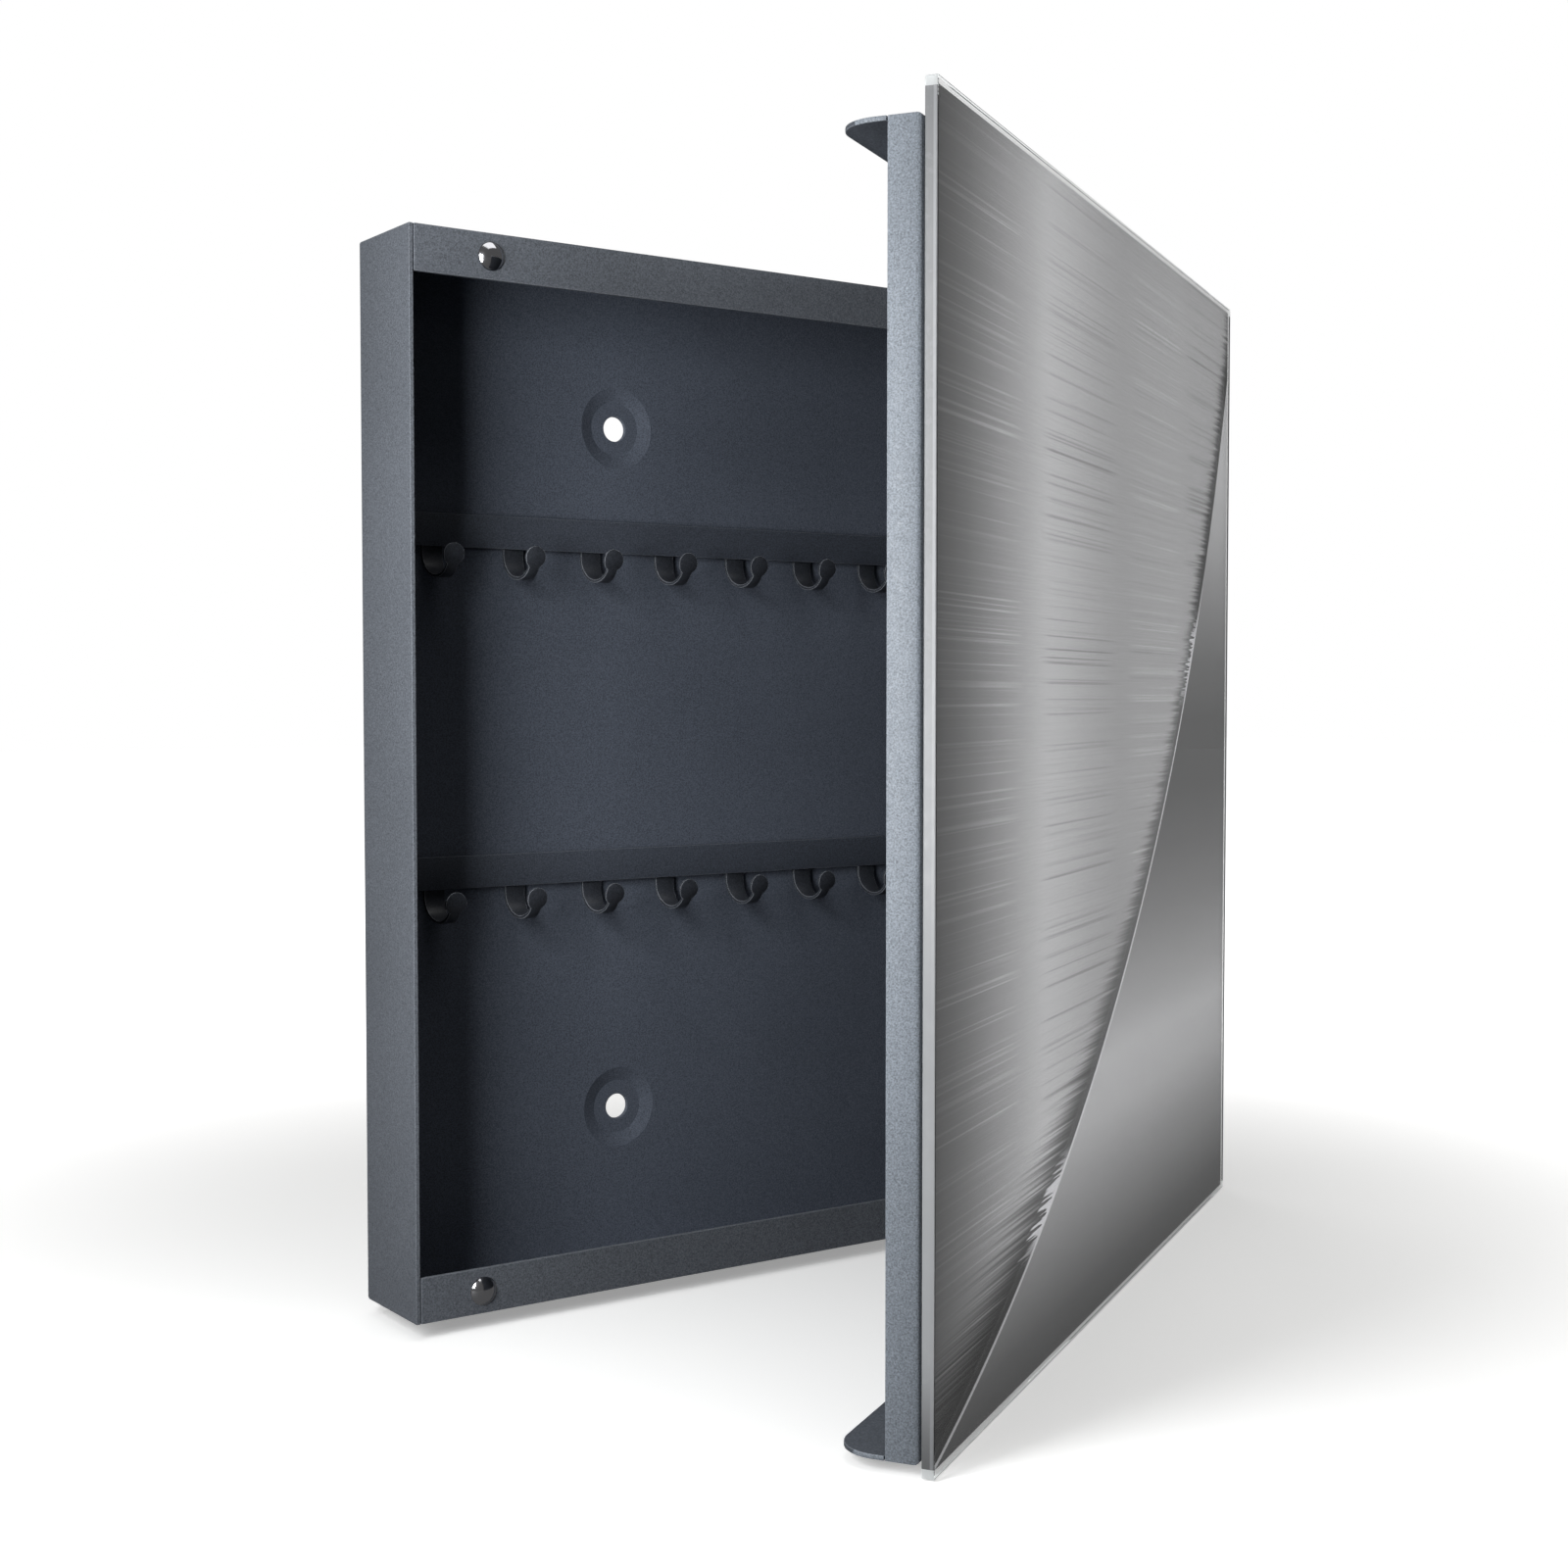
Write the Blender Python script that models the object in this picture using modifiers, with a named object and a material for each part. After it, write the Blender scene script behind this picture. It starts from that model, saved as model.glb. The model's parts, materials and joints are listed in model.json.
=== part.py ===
"""Wall key cabinet: folded steel case, two rails of key hooks and a glass-fronted door on two pivot pins.

Metres, +Z up. The wall is the plane y = 0, the front faces -Y, and the case is centred on x = 0 and z = 0.
The door is drawn shut and turned to its rest angle about the pivot, by the empty door_pivot.
"""

import math

import bmesh
import bpy
from mathutils import Vector

MM = 0.001

# Case, one folded blank
CASE_W = 291.0 * MM
CASE_H = 287.0 * MM
CASE_D = 32.4 * MM            # front edge to the outside of the back panel
CASE_T = 1.2 * MM
LIP_H = 12.2 * MM             # inward lips along the top and the bottom
BEND_R = 2.2 * MM             # outside radius of the folds at the back
SEAM_W = 0.25 * MM            # open seam where one folded wall meets the next
SEAM_STOP = 3.0 * MM          # the seam ends this far before the back
TRAY_SEAM_STOP = 2.0 * MM     # the same on the door tray, from its web

# Screw dimples, pressed towards the wall
DIMPLE_X = 65.5 * MM
DIMPLE_Z = 99.4 * MM
DIMPLE_R = 11.7 * MM
DIMPLE_FLAT_R = 7.75 * MM
DIMPLE_D = 1.2 * MM
SCREW_HOLE_R = 3.6 * MM

# Hook rails and hooks
RAIL_H = 9.2 * MM
RAIL_T = 1.0 * MM
RAIL_END_GAP = 0.8 * MM
RAIL_BASE_Z = {"upper": 62.9 * MM, "lower": -32.1 * MM}
HOOK_COUNT = 11
HOOK_END = 20.5 * MM          # side of the case to the middle of the first hook
HOOK_T = 0.9 * MM
HOOK_TAB_W = 6.2 * MM
HOOK_NECK_W = 3.2 * MM
HOOK_DISC_R = 3.1 * MM
HOOK_BEND_R = 6.8 * MM        # to the middle of the strip
HOOK_DROP = 1.6 * MM          # straight stretch below the rail
HOOK_OVERLAP = 7.0 * MM       # stretch behind the rail

# Door
GLASS_T = 3.0 * MM
GLASS_LEFT = 3.0 * MM         # glass past the left side of the case
GLASS_RIGHT = 6.0 * MM        # past its right side
GLASS_OVER = 8.9 * MM         # above its top
GLASS_UNDER = 4.1 * MM        # below its bottom
ARRIS = 0.3 * MM
PRINT_INSET = 1.3 * MM
PRINT_T = 0.15 * MM
TAPE_W = 12.0 * MM
TAPE_T = 0.4 * MM
TAPE_INSET = 9.0 * MM
BOND_GAP = 0.8 * MM           # glass to tray, filled by the print and the tape
TRAY_T = 1.0 * MM
TRAY_INSET = 0.85 * MM        # tray inside the free edge of the glass
TRAY_RIGHT_INSET = 1.5 * MM
TRAY_FOLD_R = 1.2 * MM
FLANGE_D = 8.7 * MM           # side flange, behind the glass
EAR_D = 21.5 * MM             # top and bottom flanges, behind the glass
EAR_CORNER_R = 9.8 * MM
EAR_T = 1.1 * MM
EAR_GAP = 0.6 * MM            # case wall to ear
SHUT_GAP = 1.9 * MM           # front of the case to the back of the tray with the door shut

# Pivot
PIVOT_SIDE = 5.6 * MM         # in from the right side of the case
PIVOT_BACK = 9.0 * MM         # behind the front edge of the case
PIN_R = 1.75 * MM
PIN_HEAD_R = 4.2 * MM
PIN_HEAD_T = 1.2 * MM
PIN_END = 2.4 * MM            # pin past its retainer
RUNNING_FIT = 0.06 * MM
PRESS_SEAT = 0.05 * MM
WASHER_R = 4.6 * MM
WASHER_T = 0.4 * MM
RETAINER_R = 4.0 * MM
RETAINER_T = 1.0 * MM
OPEN_DEG = 31.7

# Magnet studs on the lips
STUD_SIDE = {"top": 23.6 * MM, "bottom": 19.5 * MM}     # in from the left side of the case
STUD_R = 3.8 * MM
STUD_SHANK_R = 2.0 * MM
STUD_SHUT_GAP = 0.1 * MM
SHANK_FIT = 0.15 * MM

CONTACT = 0.05 * MM           # gap kept between faces that touch
SEAT = 0.3 * MM               # gap kept between welded or seated pieces
OVER = 2.0 * MM               # how far a cutter passes a wall
ROUND = 40                    # segments of small round pieces

BACK_Y = -DIMPLE_D
FRONT_Y = BACK_Y - CASE_D
PANEL_Y = BACK_Y - CASE_T
SIDE_X = CASE_W / 2
TOP_Z = CASE_H / 2
GLASS_Y = FRONT_Y - SHUT_GAP - TRAY_T - BOND_GAP
GLASS_X0 = -SIDE_X - GLASS_LEFT
GLASS_X1 = SIDE_X + GLASS_RIGHT
GLASS_Z0 = -TOP_Z - GLASS_UNDER
GLASS_Z1 = TOP_Z + GLASS_OVER
HOOK_PITCH = (CASE_W - 2 * HOOK_END) / (HOOK_COUNT - 1)
EAR_IN_Z = TOP_Z + EAR_GAP
EAR_OUT_Z = EAR_IN_Z + EAR_T
PIVOT = Vector((SIDE_X - PIVOT_SIDE, FRONT_Y + PIVOT_BACK, 0))


def clear_scene():
    for obj in list(bpy.data.objects):
        bpy.data.objects.remove(obj, do_unlink=True)


def make_collection(name):
    found = bpy.data.collections.new(name)
    bpy.context.scene.collection.children.link(found)
    return found


def make_material(name, color, roughness, metallic):
    mat = bpy.data.materials.new(name)
    mat.use_nodes = True
    shader = mat.node_tree.nodes["Principled BSDF"]
    shader.inputs["Base Color"].default_value = (*color, 1)
    shader.inputs["Roughness"].default_value = roughness
    shader.inputs["Metallic"].default_value = metallic
    return mat


def add_object(name, bm, home, mat=None, parent=None):
    """Object from a bmesh, with normals facing out."""
    bmesh.ops.recalc_face_normals(bm, faces=bm.faces)
    mesh = bpy.data.meshes.new(name)
    bm.to_mesh(mesh)
    bm.free()
    obj = bpy.data.objects.new(name, mesh)
    home.objects.link(obj)
    if mat:
        mesh.materials.append(mat)
    if parent:
        obj.parent = parent
    return obj


def box(low, high):
    bm = bmesh.new()
    size = [high[i] - low[i] for i in range(3)]
    middle = [(high[i] + low[i]) / 2 for i in range(3)]
    bmesh.ops.create_cube(bm, size=1)
    bmesh.ops.scale(bm, vec=size, verts=bm.verts)
    bmesh.ops.translate(bm, vec=middle, verts=bm.verts)
    return bm


def turned(profile, axis="Z", at=(0, 0, 0), steps=ROUND, into=None):
    """Solid of revolution: profile is (radius, height) pairs from one end of the axis to the other."""
    bm = into or bmesh.new()
    made = []
    rings = []
    for radius, height in profile:
        if radius < 1e-9:
            rings.append([bm.verts.new((0, 0, height))])
        else:
            angles = [2 * math.pi * i / steps for i in range(steps)]
            around = [(radius * math.cos(a), radius * math.sin(a), height) for a in angles]
            rings.append([bm.verts.new(p) for p in around])
        made += rings[-1]
    for low, high in zip(rings, rings[1:]):
        for i in range(steps):
            j = (i + 1) % steps
            if len(low) == 1:
                bm.faces.new((low[0], high[j], high[i]))
            elif len(high) == 1:
                bm.faces.new((low[i], low[j], high[0]))
            else:
                bm.faces.new((low[i], low[j], high[j], high[i]))
    for ring in (rings[0], rings[-1]):
        if len(ring) > 1:
            bm.faces.new(ring)
    if axis == "Y":
        for vert in made:
            x, y, z = vert.co
            vert.co = (x, z, y)
    bmesh.ops.translate(bm, vec=at, verts=made)
    return bm


def extruded(outline, low, high, into):
    """Closed outline of (x, y) points, drawn out along Z."""
    rings = [[into.verts.new((x, y, z)) for x, y in outline] for z in (low, high)]
    count = len(outline)
    for i in range(count):
        j = (i + 1) % count
        into.faces.new((rings[0][i], rings[0][j], rings[1][j], rings[1][i]))
    into.faces.new(rings[0])
    into.faces.new(rings[1][::-1])


def tube(r_out, r_in, low, high, at, axis="Z"):
    """Ring with a square section, as a closed loop turned about the axis."""
    bm = bmesh.new()
    corners = ((r_out, low), (r_out, high), (r_in, high), (r_in, low))
    rings = []
    for radius, height in corners:
        angles = [2 * math.pi * i / ROUND for i in range(ROUND)]
        rings.append([bm.verts.new((radius * math.cos(a), radius * math.sin(a), height)) for a in angles])
    for k in range(4):
        first, second = rings[k], rings[(k + 1) % 4]
        for i in range(ROUND):
            j = (i + 1) % ROUND
            bm.faces.new((first[i], first[j], second[j], second[i]))
    if axis == "Y":
        for vert in bm.verts:
            x, y, z = vert.co
            vert.co = (x, z, y)
    bmesh.ops.translate(bm, vec=at, verts=bm.verts)
    return bm


def boolean(obj, cutter, operation):
    mod = obj.modifiers.new(f"{operation.lower()} {cutter.name}", "BOOLEAN")
    mod.operation = operation
    mod.solver = "EXACT"
    mod.object = cutter


def bevel(obj, width, segments, limit="ANGLE"):
    mod = obj.modifiers.new("bevel", "BEVEL")
    mod.width = width
    mod.segments = segments
    mod.limit_method = limit
    return mod


def weight_edges(obj, test):
    """Bevel weight 1 on the edges whose two ends pass the test."""
    weights = obj.data.attributes.new("bevel_weight_edge", "FLOAT", "EDGE")
    points = obj.data.vertices
    for edge in obj.data.edges:
        if all(test(points[i].co) for i in edge.vertices):
            weights.data[edge.index].value = 1


def smooth(obj):
    for face in obj.data.polygons:
        face.use_smooth = len(face.vertices) <= 4


# Case

def build_case(home, cutters, paint):
    block = box((-SIDE_X, FRONT_Y, -TOP_Z), (SIDE_X, BACK_Y, TOP_Z))
    case = add_object("cabinet_shell", block, home, paint)
    weight_edges(case, lambda p: p.y > BACK_Y - 1e-6)
    bevel(case, BEND_R, 4, "WEIGHT")

    pads = bmesh.new()
    recesses = bmesh.new()
    holes = bmesh.new()
    slope = DIMPLE_R - DIMPLE_FLAT_R
    for x in (-DIMPLE_X, DIMPLE_X):
        for z in (-DIMPLE_Z, DIMPLE_Z):
            pad = ((DIMPLE_R + CASE_T * 0.4, -CASE_T / 2), (DIMPLE_R, 0), (DIMPLE_FLAT_R, DIMPLE_D))
            turned(pad, "Y", (x, BACK_Y, z), into=pads)
            rim = DIMPLE_R + slope * OVER / DIMPLE_D / 4
            recess = ((rim, -OVER / 4), (DIMPLE_R, 0), (DIMPLE_FLAT_R, DIMPLE_D))
            turned(recess, "Y", (x, PANEL_Y, z), into=recesses)
            turned(((SCREW_HOLE_R, -OVER), (SCREW_HOLE_R, OVER)), "Y", (x, BACK_Y, z), into=holes)
    boolean(case, add_object("dimple_pads", pads, cutters), "UNION")

    inside = add_object("case_inside", box(
        (-SIDE_X + CASE_T, FRONT_Y + CASE_T, -TOP_Z + CASE_T),
        (SIDE_X - CASE_T, PANEL_Y, TOP_Z - CASE_T)), cutters)
    weight_edges(inside, lambda p: p.y > PANEL_Y - 1e-6)
    bevel(inside, BEND_R - CASE_T, 3, "WEIGHT")
    boolean(case, inside, "DIFFERENCE")

    mouth = add_object("case_mouth", box(
        (-SIDE_X + CASE_T, FRONT_Y - OVER, -TOP_Z + LIP_H),
        (SIDE_X - CASE_T, FRONT_Y + CASE_T + OVER, TOP_Z - LIP_H)), cutters)
    boolean(case, mouth, "DIFFERENCE")
    boolean(case, add_object("dimple_recesses", recesses, cutters), "DIFFERENCE")
    boolean(case, add_object("screw_holes", holes, cutters), "DIFFERENCE")

    seams = bmesh.new()
    for side in (-1, 1):
        for end in (-1, 1):
            inner = side * (SIDE_X - CASE_T - SEAM_W)
            outer = side * (SIDE_X - CASE_T)
            near = end * (TOP_Z - LIP_H - OVER)
            far = end * (TOP_Z + OVER)
            low = (min(inner, outer), FRONT_Y - OVER, min(near, far))
            high = (max(inner, outer), BACK_Y - SEAM_STOP, max(near, far))
            piece = box(low, high)
            joined = bpy.data.meshes.new("seam")
            piece.to_mesh(joined)
            piece.free()
            seams.from_mesh(joined)
            bpy.data.meshes.remove(joined)
    boolean(case, add_object("corner_seams", seams, cutters), "DIFFERENCE")

    bores = bmesh.new()
    bore_r = PIN_R + PRESS_SEAT
    for side in (-1, 1):
        bore = ((bore_r, -OVER * 1.5), (bore_r, OVER * 1.5))
        turned(bore, "Z", (PIVOT.x, PIVOT.y, side * TOP_Z), into=bores)
        x = STUD_SIDE["top" if side > 0 else "bottom"] - SIDE_X
        shank = STUD_SHANK_R + SHANK_FIT
        at = (x, FRONT_Y, side * (TOP_Z - LIP_H / 2))
        turned(((shank, -OVER), (shank, OVER)), "Y", at, into=bores)
    boolean(case, add_object("pin_and_stud_holes", bores, cutters), "DIFFERENCE")
    return case


# Hooks

def hook_stations():
    """(distance, y, z, tangent y, tangent z) down the strip, from behind the rail to the tip.

    z = 0 is the lower edge of the rail.
    """
    step = math.radians(10)
    y = PANEL_Y - SEAT - HOOK_T / 2
    out = [(0.0, y, HOOK_OVERLAP, 0.0, -1.0), (HOOK_OVERLAP + HOOK_DROP, y, -HOOK_DROP, 0.0, -1.0)]
    turns = round(math.pi / step)
    for i in range(1, turns + 1):
        a = i * step
        along = HOOK_OVERLAP + HOOK_DROP + HOOK_BEND_R * a
        cy = y - HOOK_BEND_R * (1 - math.cos(a))
        cz = -HOOK_DROP - HOOK_BEND_R * math.sin(a)
        out.append((along, cy, cz, -math.sin(a), -math.cos(a)))
    along, cy, cz = out[-1][0], out[-1][1], out[-1][2]
    rise = HOOK_DISC_R - HOOK_BEND_R * step
    out.append((along + rise, cy, cz + rise, 0.0, 1.0))
    return out


def hook_width(along, total):
    """Half width of the strip: straight tab, tapering to the neck, then the round disc."""
    centre = total - HOOK_DISC_R
    bend = HOOK_OVERLAP + HOOK_DROP
    to_disc = abs(along - centre)
    disc = math.sqrt(max(HOOK_DISC_R ** 2 - to_disc ** 2, 0))
    if along <= bend:
        return HOOK_TAB_W / 2
    neck_at = centre - 0.86 * HOOK_DISC_R
    share = min(1, (along - bend) / (neck_at - bend))
    eased = share * share * (3 - 2 * share)
    strip = HOOK_TAB_W / 2 + (HOOK_NECK_W / 2 - HOOK_TAB_W / 2) * eased
    return disc if along > centre else max(strip, disc)


def fine_stations():
    """The stations, split more finely over the disc so that its outline is round."""
    rough = hook_stations()
    total = rough[-1][0]
    marks = [row[0] for row in rough[:-1]]
    start = total - 2 * HOOK_DISC_R
    marks = [m for m in marks if m < start]
    marks += [total - HOOK_DISC_R - HOOK_DISC_R * math.cos(math.pi * k / 12) for k in range(13)]
    rows = []
    for mark in marks:
        for a, b in zip(rough, rough[1:]):
            if a[0] <= mark <= b[0] + 1e-12:
                t = (mark - a[0]) / (b[0] - a[0])
                rows.append(tuple(a[i] + (b[i] - a[i]) * t for i in range(5)))
                break
    return rows, total


def build_hook_mesh():
    rows, total = fine_stations()
    bm = bmesh.new()
    loops = []
    for along, y, z, ty, tz in rows:
        half = max(hook_width(along, total), 0.25 * MM)
        length = math.hypot(ty, tz)
        ny, nz = -tz / length * HOOK_T / 2, ty / length * HOOK_T / 2
        near = (y + ny, z + nz)
        far = (y - ny, z - nz)
        corners = ((-half, *near), (half, *near), (half, *far), (-half, *far))
        loops.append([bm.verts.new(c) for c in corners])
    for a, b in zip(loops, loops[1:]):
        for i in range(4):
            j = (i + 1) % 4
            bm.faces.new((a[i], a[j], b[j], b[i]))
    bm.faces.new(loops[0])
    bm.faces.new(loops[-1][::-1])
    return bm


def build_rails(home, paint, dark):
    rail_back = PANEL_Y - SEAT - HOOK_T - 2 * CONTACT
    rail_front = rail_back - RAIL_T
    half = SIDE_X - CASE_T - RAIL_END_GAP
    first = -(HOOK_COUNT - 1) / 2 * HOOK_PITCH
    for level, base in RAIL_BASE_Z.items():
        bar = box((-half, rail_front, 0), (half, rail_back, RAIL_H))
        rail = add_object(f"hook_rail_{level}", bar, home, paint)
        rail.location.z = base
        bevel(rail, 0.25 * MM, 2)
        for i in range(HOOK_COUNT):
            hook = add_object(f"hook_{level}_{i + 1:02d}", build_hook_mesh(), home, dark)
            hook.location = (first + i * HOOK_PITCH, 0, base)


# Studs and pins

def build_studs(home, nickel, steel):
    height = SHUT_GAP - STUD_SHUT_GAP - CONTACT
    ball = (STUD_R ** 2 + height ** 2) / (2 * height)
    widest = math.asin(STUD_R / ball)
    turns = [widest * k / 8 for k in range(9)]
    dome = [(ball * math.sin(a), ball - ball * math.cos(a) - height) for a in turns]
    shank_end = CASE_T + SEAT + RETAINER_T + 0.8 * MM
    chamfer = 0.3 * MM
    shank = [(STUD_SHANK_R, 0), (STUD_SHANK_R, shank_end - chamfer), (STUD_SHANK_R - chamfer, shank_end)]
    profile = dome + shank
    for end, side in (("top", 1), ("bottom", -1)):
        at = (STUD_SIDE[end] - SIDE_X, FRONT_Y - CONTACT, side * (TOP_Z - LIP_H / 2))
        stud = add_object(f"magnet_stud_{end}", turned(profile, "Y"), home, nickel)
        stud.location = at
        smooth(stud)
        low = CASE_T + CONTACT + SEAT / 2
        ring = tube(RETAINER_R - 0.2 * MM, STUD_SHANK_R + PRESS_SEAT, low, low + RETAINER_T, (0, 0, 0), "Y")
        clip = add_object(f"stud_retainer_{end}", ring, home, steel)
        clip.location = at


def build_pins(home, zinc, nylon, steel):
    head = EAR_OUT_Z + CONTACT
    inner = TOP_Z - CASE_T
    for end, side in (("top", 1), ("bottom", -1)):
        tip = inner - CONTACT - RETAINER_T - PIN_END
        profile = [
            (PIN_R - 0.3 * MM, tip), (PIN_R, tip + 0.3 * MM), (PIN_R, head), (PIN_HEAD_R, head),
            (PIN_HEAD_R, head + PIN_HEAD_T * 0.55), (PIN_HEAD_R * 0.86, head + PIN_HEAD_T * 0.9),
            (PIN_HEAD_R * 0.6, head + PIN_HEAD_T)]
        profile = [(r, side * z) for r, z in profile]
        pin = add_object(f"pivot_pin_{end}", turned(profile), home, zinc)
        low = TOP_Z + (EAR_GAP - WASHER_T) / 2
        ring = tube(WASHER_R, PIN_R + RUNNING_FIT, side * low, side * (low + WASHER_T), (0, 0, 0))
        washer = add_object(f"pivot_washer_{end}", ring, home, nylon)
        top = inner - CONTACT
        ring = tube(RETAINER_R, PIN_R + PRESS_SEAT, side * top, side * (top - RETAINER_T), (0, 0, 0))
        clip = add_object(f"pin_retainer_{end}", ring, home, steel)
        for obj in (pin, washer, clip):
            obj.location = (PIVOT.x, PIVOT.y, 0)
        smooth(pin)


# Door, drawn shut about the pivot

def build_door(home, cutters, paint, glass_mat, print_mat, tape_mat):
    hinge = bpy.data.objects.new("door_pivot", None)
    home.objects.link(hinge)
    hinge.location = PIVOT
    hinge.rotation_euler.z = math.radians(OPEN_DEG)

    left = GLASS_X0 - PIVOT.x
    right = GLASS_X1 - PIVOT.x
    back = GLASS_Y - PIVOT.y

    pane = box((left, back - GLASS_T, GLASS_Z0), (right, back, GLASS_Z1))
    glass = add_object("glass_panel", pane, home, glass_mat, hinge)
    bevel(glass, ARRIS, 1)

    add_object("print_layer", box(
        (left + PRINT_INSET, back + CONTACT, GLASS_Z0 + PRINT_INSET),
        (right - PRINT_INSET, back + CONTACT + PRINT_T, GLASS_Z1 - PRINT_INSET)), home, print_mat, hinge)

    web = back + BOND_GAP
    x0 = left + TRAY_INSET
    x1 = right - TRAY_RIGHT_INSET
    tape_back = web - (BOND_GAP - CONTACT - PRINT_T - TAPE_T) / 2
    tape_front = tape_back - TAPE_T
    tx0 = x0 + TAPE_INSET
    tx1 = x1 - TAPE_INSET
    tz = EAR_OUT_Z - TAPE_INSET
    strips = {
        "bond_tape_left": ((tx0, -tz), (tx0 + TAPE_W, tz)),
        "bond_tape_right": ((tx1 - TAPE_W, -tz), (tx1, tz)),
        "bond_tape_top": ((tx0 + TAPE_W + SEAT, tz - TAPE_W), (tx1 - TAPE_W - SEAT, tz)),
        "bond_tape_bottom": ((tx0 + TAPE_W + SEAT, -tz), (tx1 - TAPE_W - SEAT, -tz + TAPE_W)),
    }
    for name, (a, b) in strips.items():
        strip = box((a[0], tape_front, a[1]), (b[0], tape_back, b[1]))
        add_object(name, strip, home, tape_mat, hinge)

    ear_back = back + EAR_D
    block = box((x0, web, -EAR_OUT_Z), (x1, ear_back, EAR_OUT_Z))
    tray = add_object("door_tray", block, home, paint, hinge)
    weight_edges(tray, lambda p: p.y < web + 1e-6)
    free = tray.data.attributes["bevel_weight_edge"]
    for edge in tray.data.edges:
        if all(tray.data.vertices[i].co.x > x1 - 1e-6 for i in edge.vertices):
            free.data[edge.index].value = 0
    bevel(tray, TRAY_FOLD_R, 4, "WEIGHT")

    pocket = box(
        (x0 + TRAY_T, web + TRAY_T, -EAR_IN_Z),
        (x1 + OVER, ear_back + OVER, EAR_IN_Z))
    boolean(tray, add_object("tray_pocket", pocket, cutters, parent=hinge), "DIFFERENCE")
    side_cut = box(
        (x0 - OVER, back + FLANGE_D, -EAR_IN_Z),
        (x0 + TRAY_T + OVER, ear_back + OVER, EAR_IN_Z))
    boolean(tray, add_object("side_flange_cut", side_cut, cutters, parent=hinge), "DIFFERENCE")

    corners = bmesh.new()
    for x, sign in ((x0, 1), (x1, -1)):
        centre = (x + sign * EAR_CORNER_R, ear_back - EAR_CORNER_R)
        outline = [(x - sign * OVER, ear_back + OVER), (x - sign * OVER, centre[1])]
        for k in range(13):
            a = math.pi / 2 * k / 12
            across = sign * EAR_CORNER_R * math.cos(a)
            outline.append((centre[0] - across, centre[1] + EAR_CORNER_R * math.sin(a)))
        outline.append((centre[0], ear_back + OVER))
        extruded(outline, -EAR_OUT_Z - OVER, EAR_OUT_Z + OVER, corners)
    boolean(tray, add_object("ear_corners", corners, cutters, parent=hinge), "DIFFERENCE")

    seams = bmesh.new()
    inner = x0 + TRAY_T
    flange_end = back + FLANGE_D
    outline = [
        (inner, web + TRAY_SEAM_STOP), (inner + SEAM_W, web + TRAY_SEAM_STOP),
        (inner + SEAM_W, flange_end + SEAM_W), (x0 - OVER, flange_end + SEAM_W),
        (x0 - OVER, flange_end), (inner, flange_end)]
    extruded(outline, EAR_IN_Z - OVER, EAR_OUT_Z + OVER, seams)
    extruded(outline, -EAR_OUT_Z - OVER, -EAR_IN_Z + OVER, seams)
    boolean(tray, add_object("ear_seams", seams, cutters, parent=hinge), "DIFFERENCE")

    reach = EAR_OUT_Z + OVER
    bore_r = PIN_R + RUNNING_FIT
    bore = turned(((bore_r, -reach), (bore_r, reach)))
    boolean(tray, add_object("ear_bores", bore, cutters, parent=hinge), "DIFFERENCE")
    return hinge


def main():
    clear_scene()
    home = make_collection("Key cabinet")
    cutters = make_collection("Cutters")
    cutters.hide_render = True

    paint = make_material("powder_coat_anthracite", (0.075, 0.083, 0.096), 0.52, 0.0)
    rail_paint = make_material("powder_coat_rail", (0.07, 0.078, 0.09), 0.5, 0.0)
    hook_paint = make_material("powder_coat_hook", (0.045, 0.05, 0.06), 0.48, 0.0)
    tray_paint = make_material("powder_coat_door", (0.1, 0.11, 0.125), 0.5, 0.0)
    nickel = make_material("polished_nickel", (0.62, 0.62, 0.64), 0.12, 1.0)
    zinc = make_material("zinc_plated_steel", (0.5, 0.51, 0.53), 0.32, 1.0)
    spring = make_material("spring_steel", (0.3, 0.3, 0.31), 0.4, 1.0)
    nylon = make_material("white_nylon", (0.72, 0.72, 0.7), 0.45, 0.0)
    glass = make_material("clear_glass", (0.92, 0.96, 0.95), 0.05, 0.0)
    printed = make_material("metal_print", (0.55, 0.55, 0.56), 0.3, 0.3)
    tape = make_material("bond_tape", (0.03, 0.03, 0.035), 0.7, 0.0)

    build_case(home, cutters, paint)
    build_rails(home, rail_paint, hook_paint)
    build_studs(home, nickel, spring)
    build_pins(home, zinc, nylon, spring)
    build_door(home, cutters, tray_paint, glass, printed, tape)
    for cutter in cutters.objects:
        cutter.display_type = "WIRE"


main()
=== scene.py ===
"""Wall key cabinet with a glass-fronted door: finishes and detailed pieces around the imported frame.

Laid out as an add-on and run as a script. Metres, +Z up, the wall at y = 0 and the front towards -Y.
"""

import json
import math

import bmesh
import bpy
from mathutils import Matrix, Vector


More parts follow.
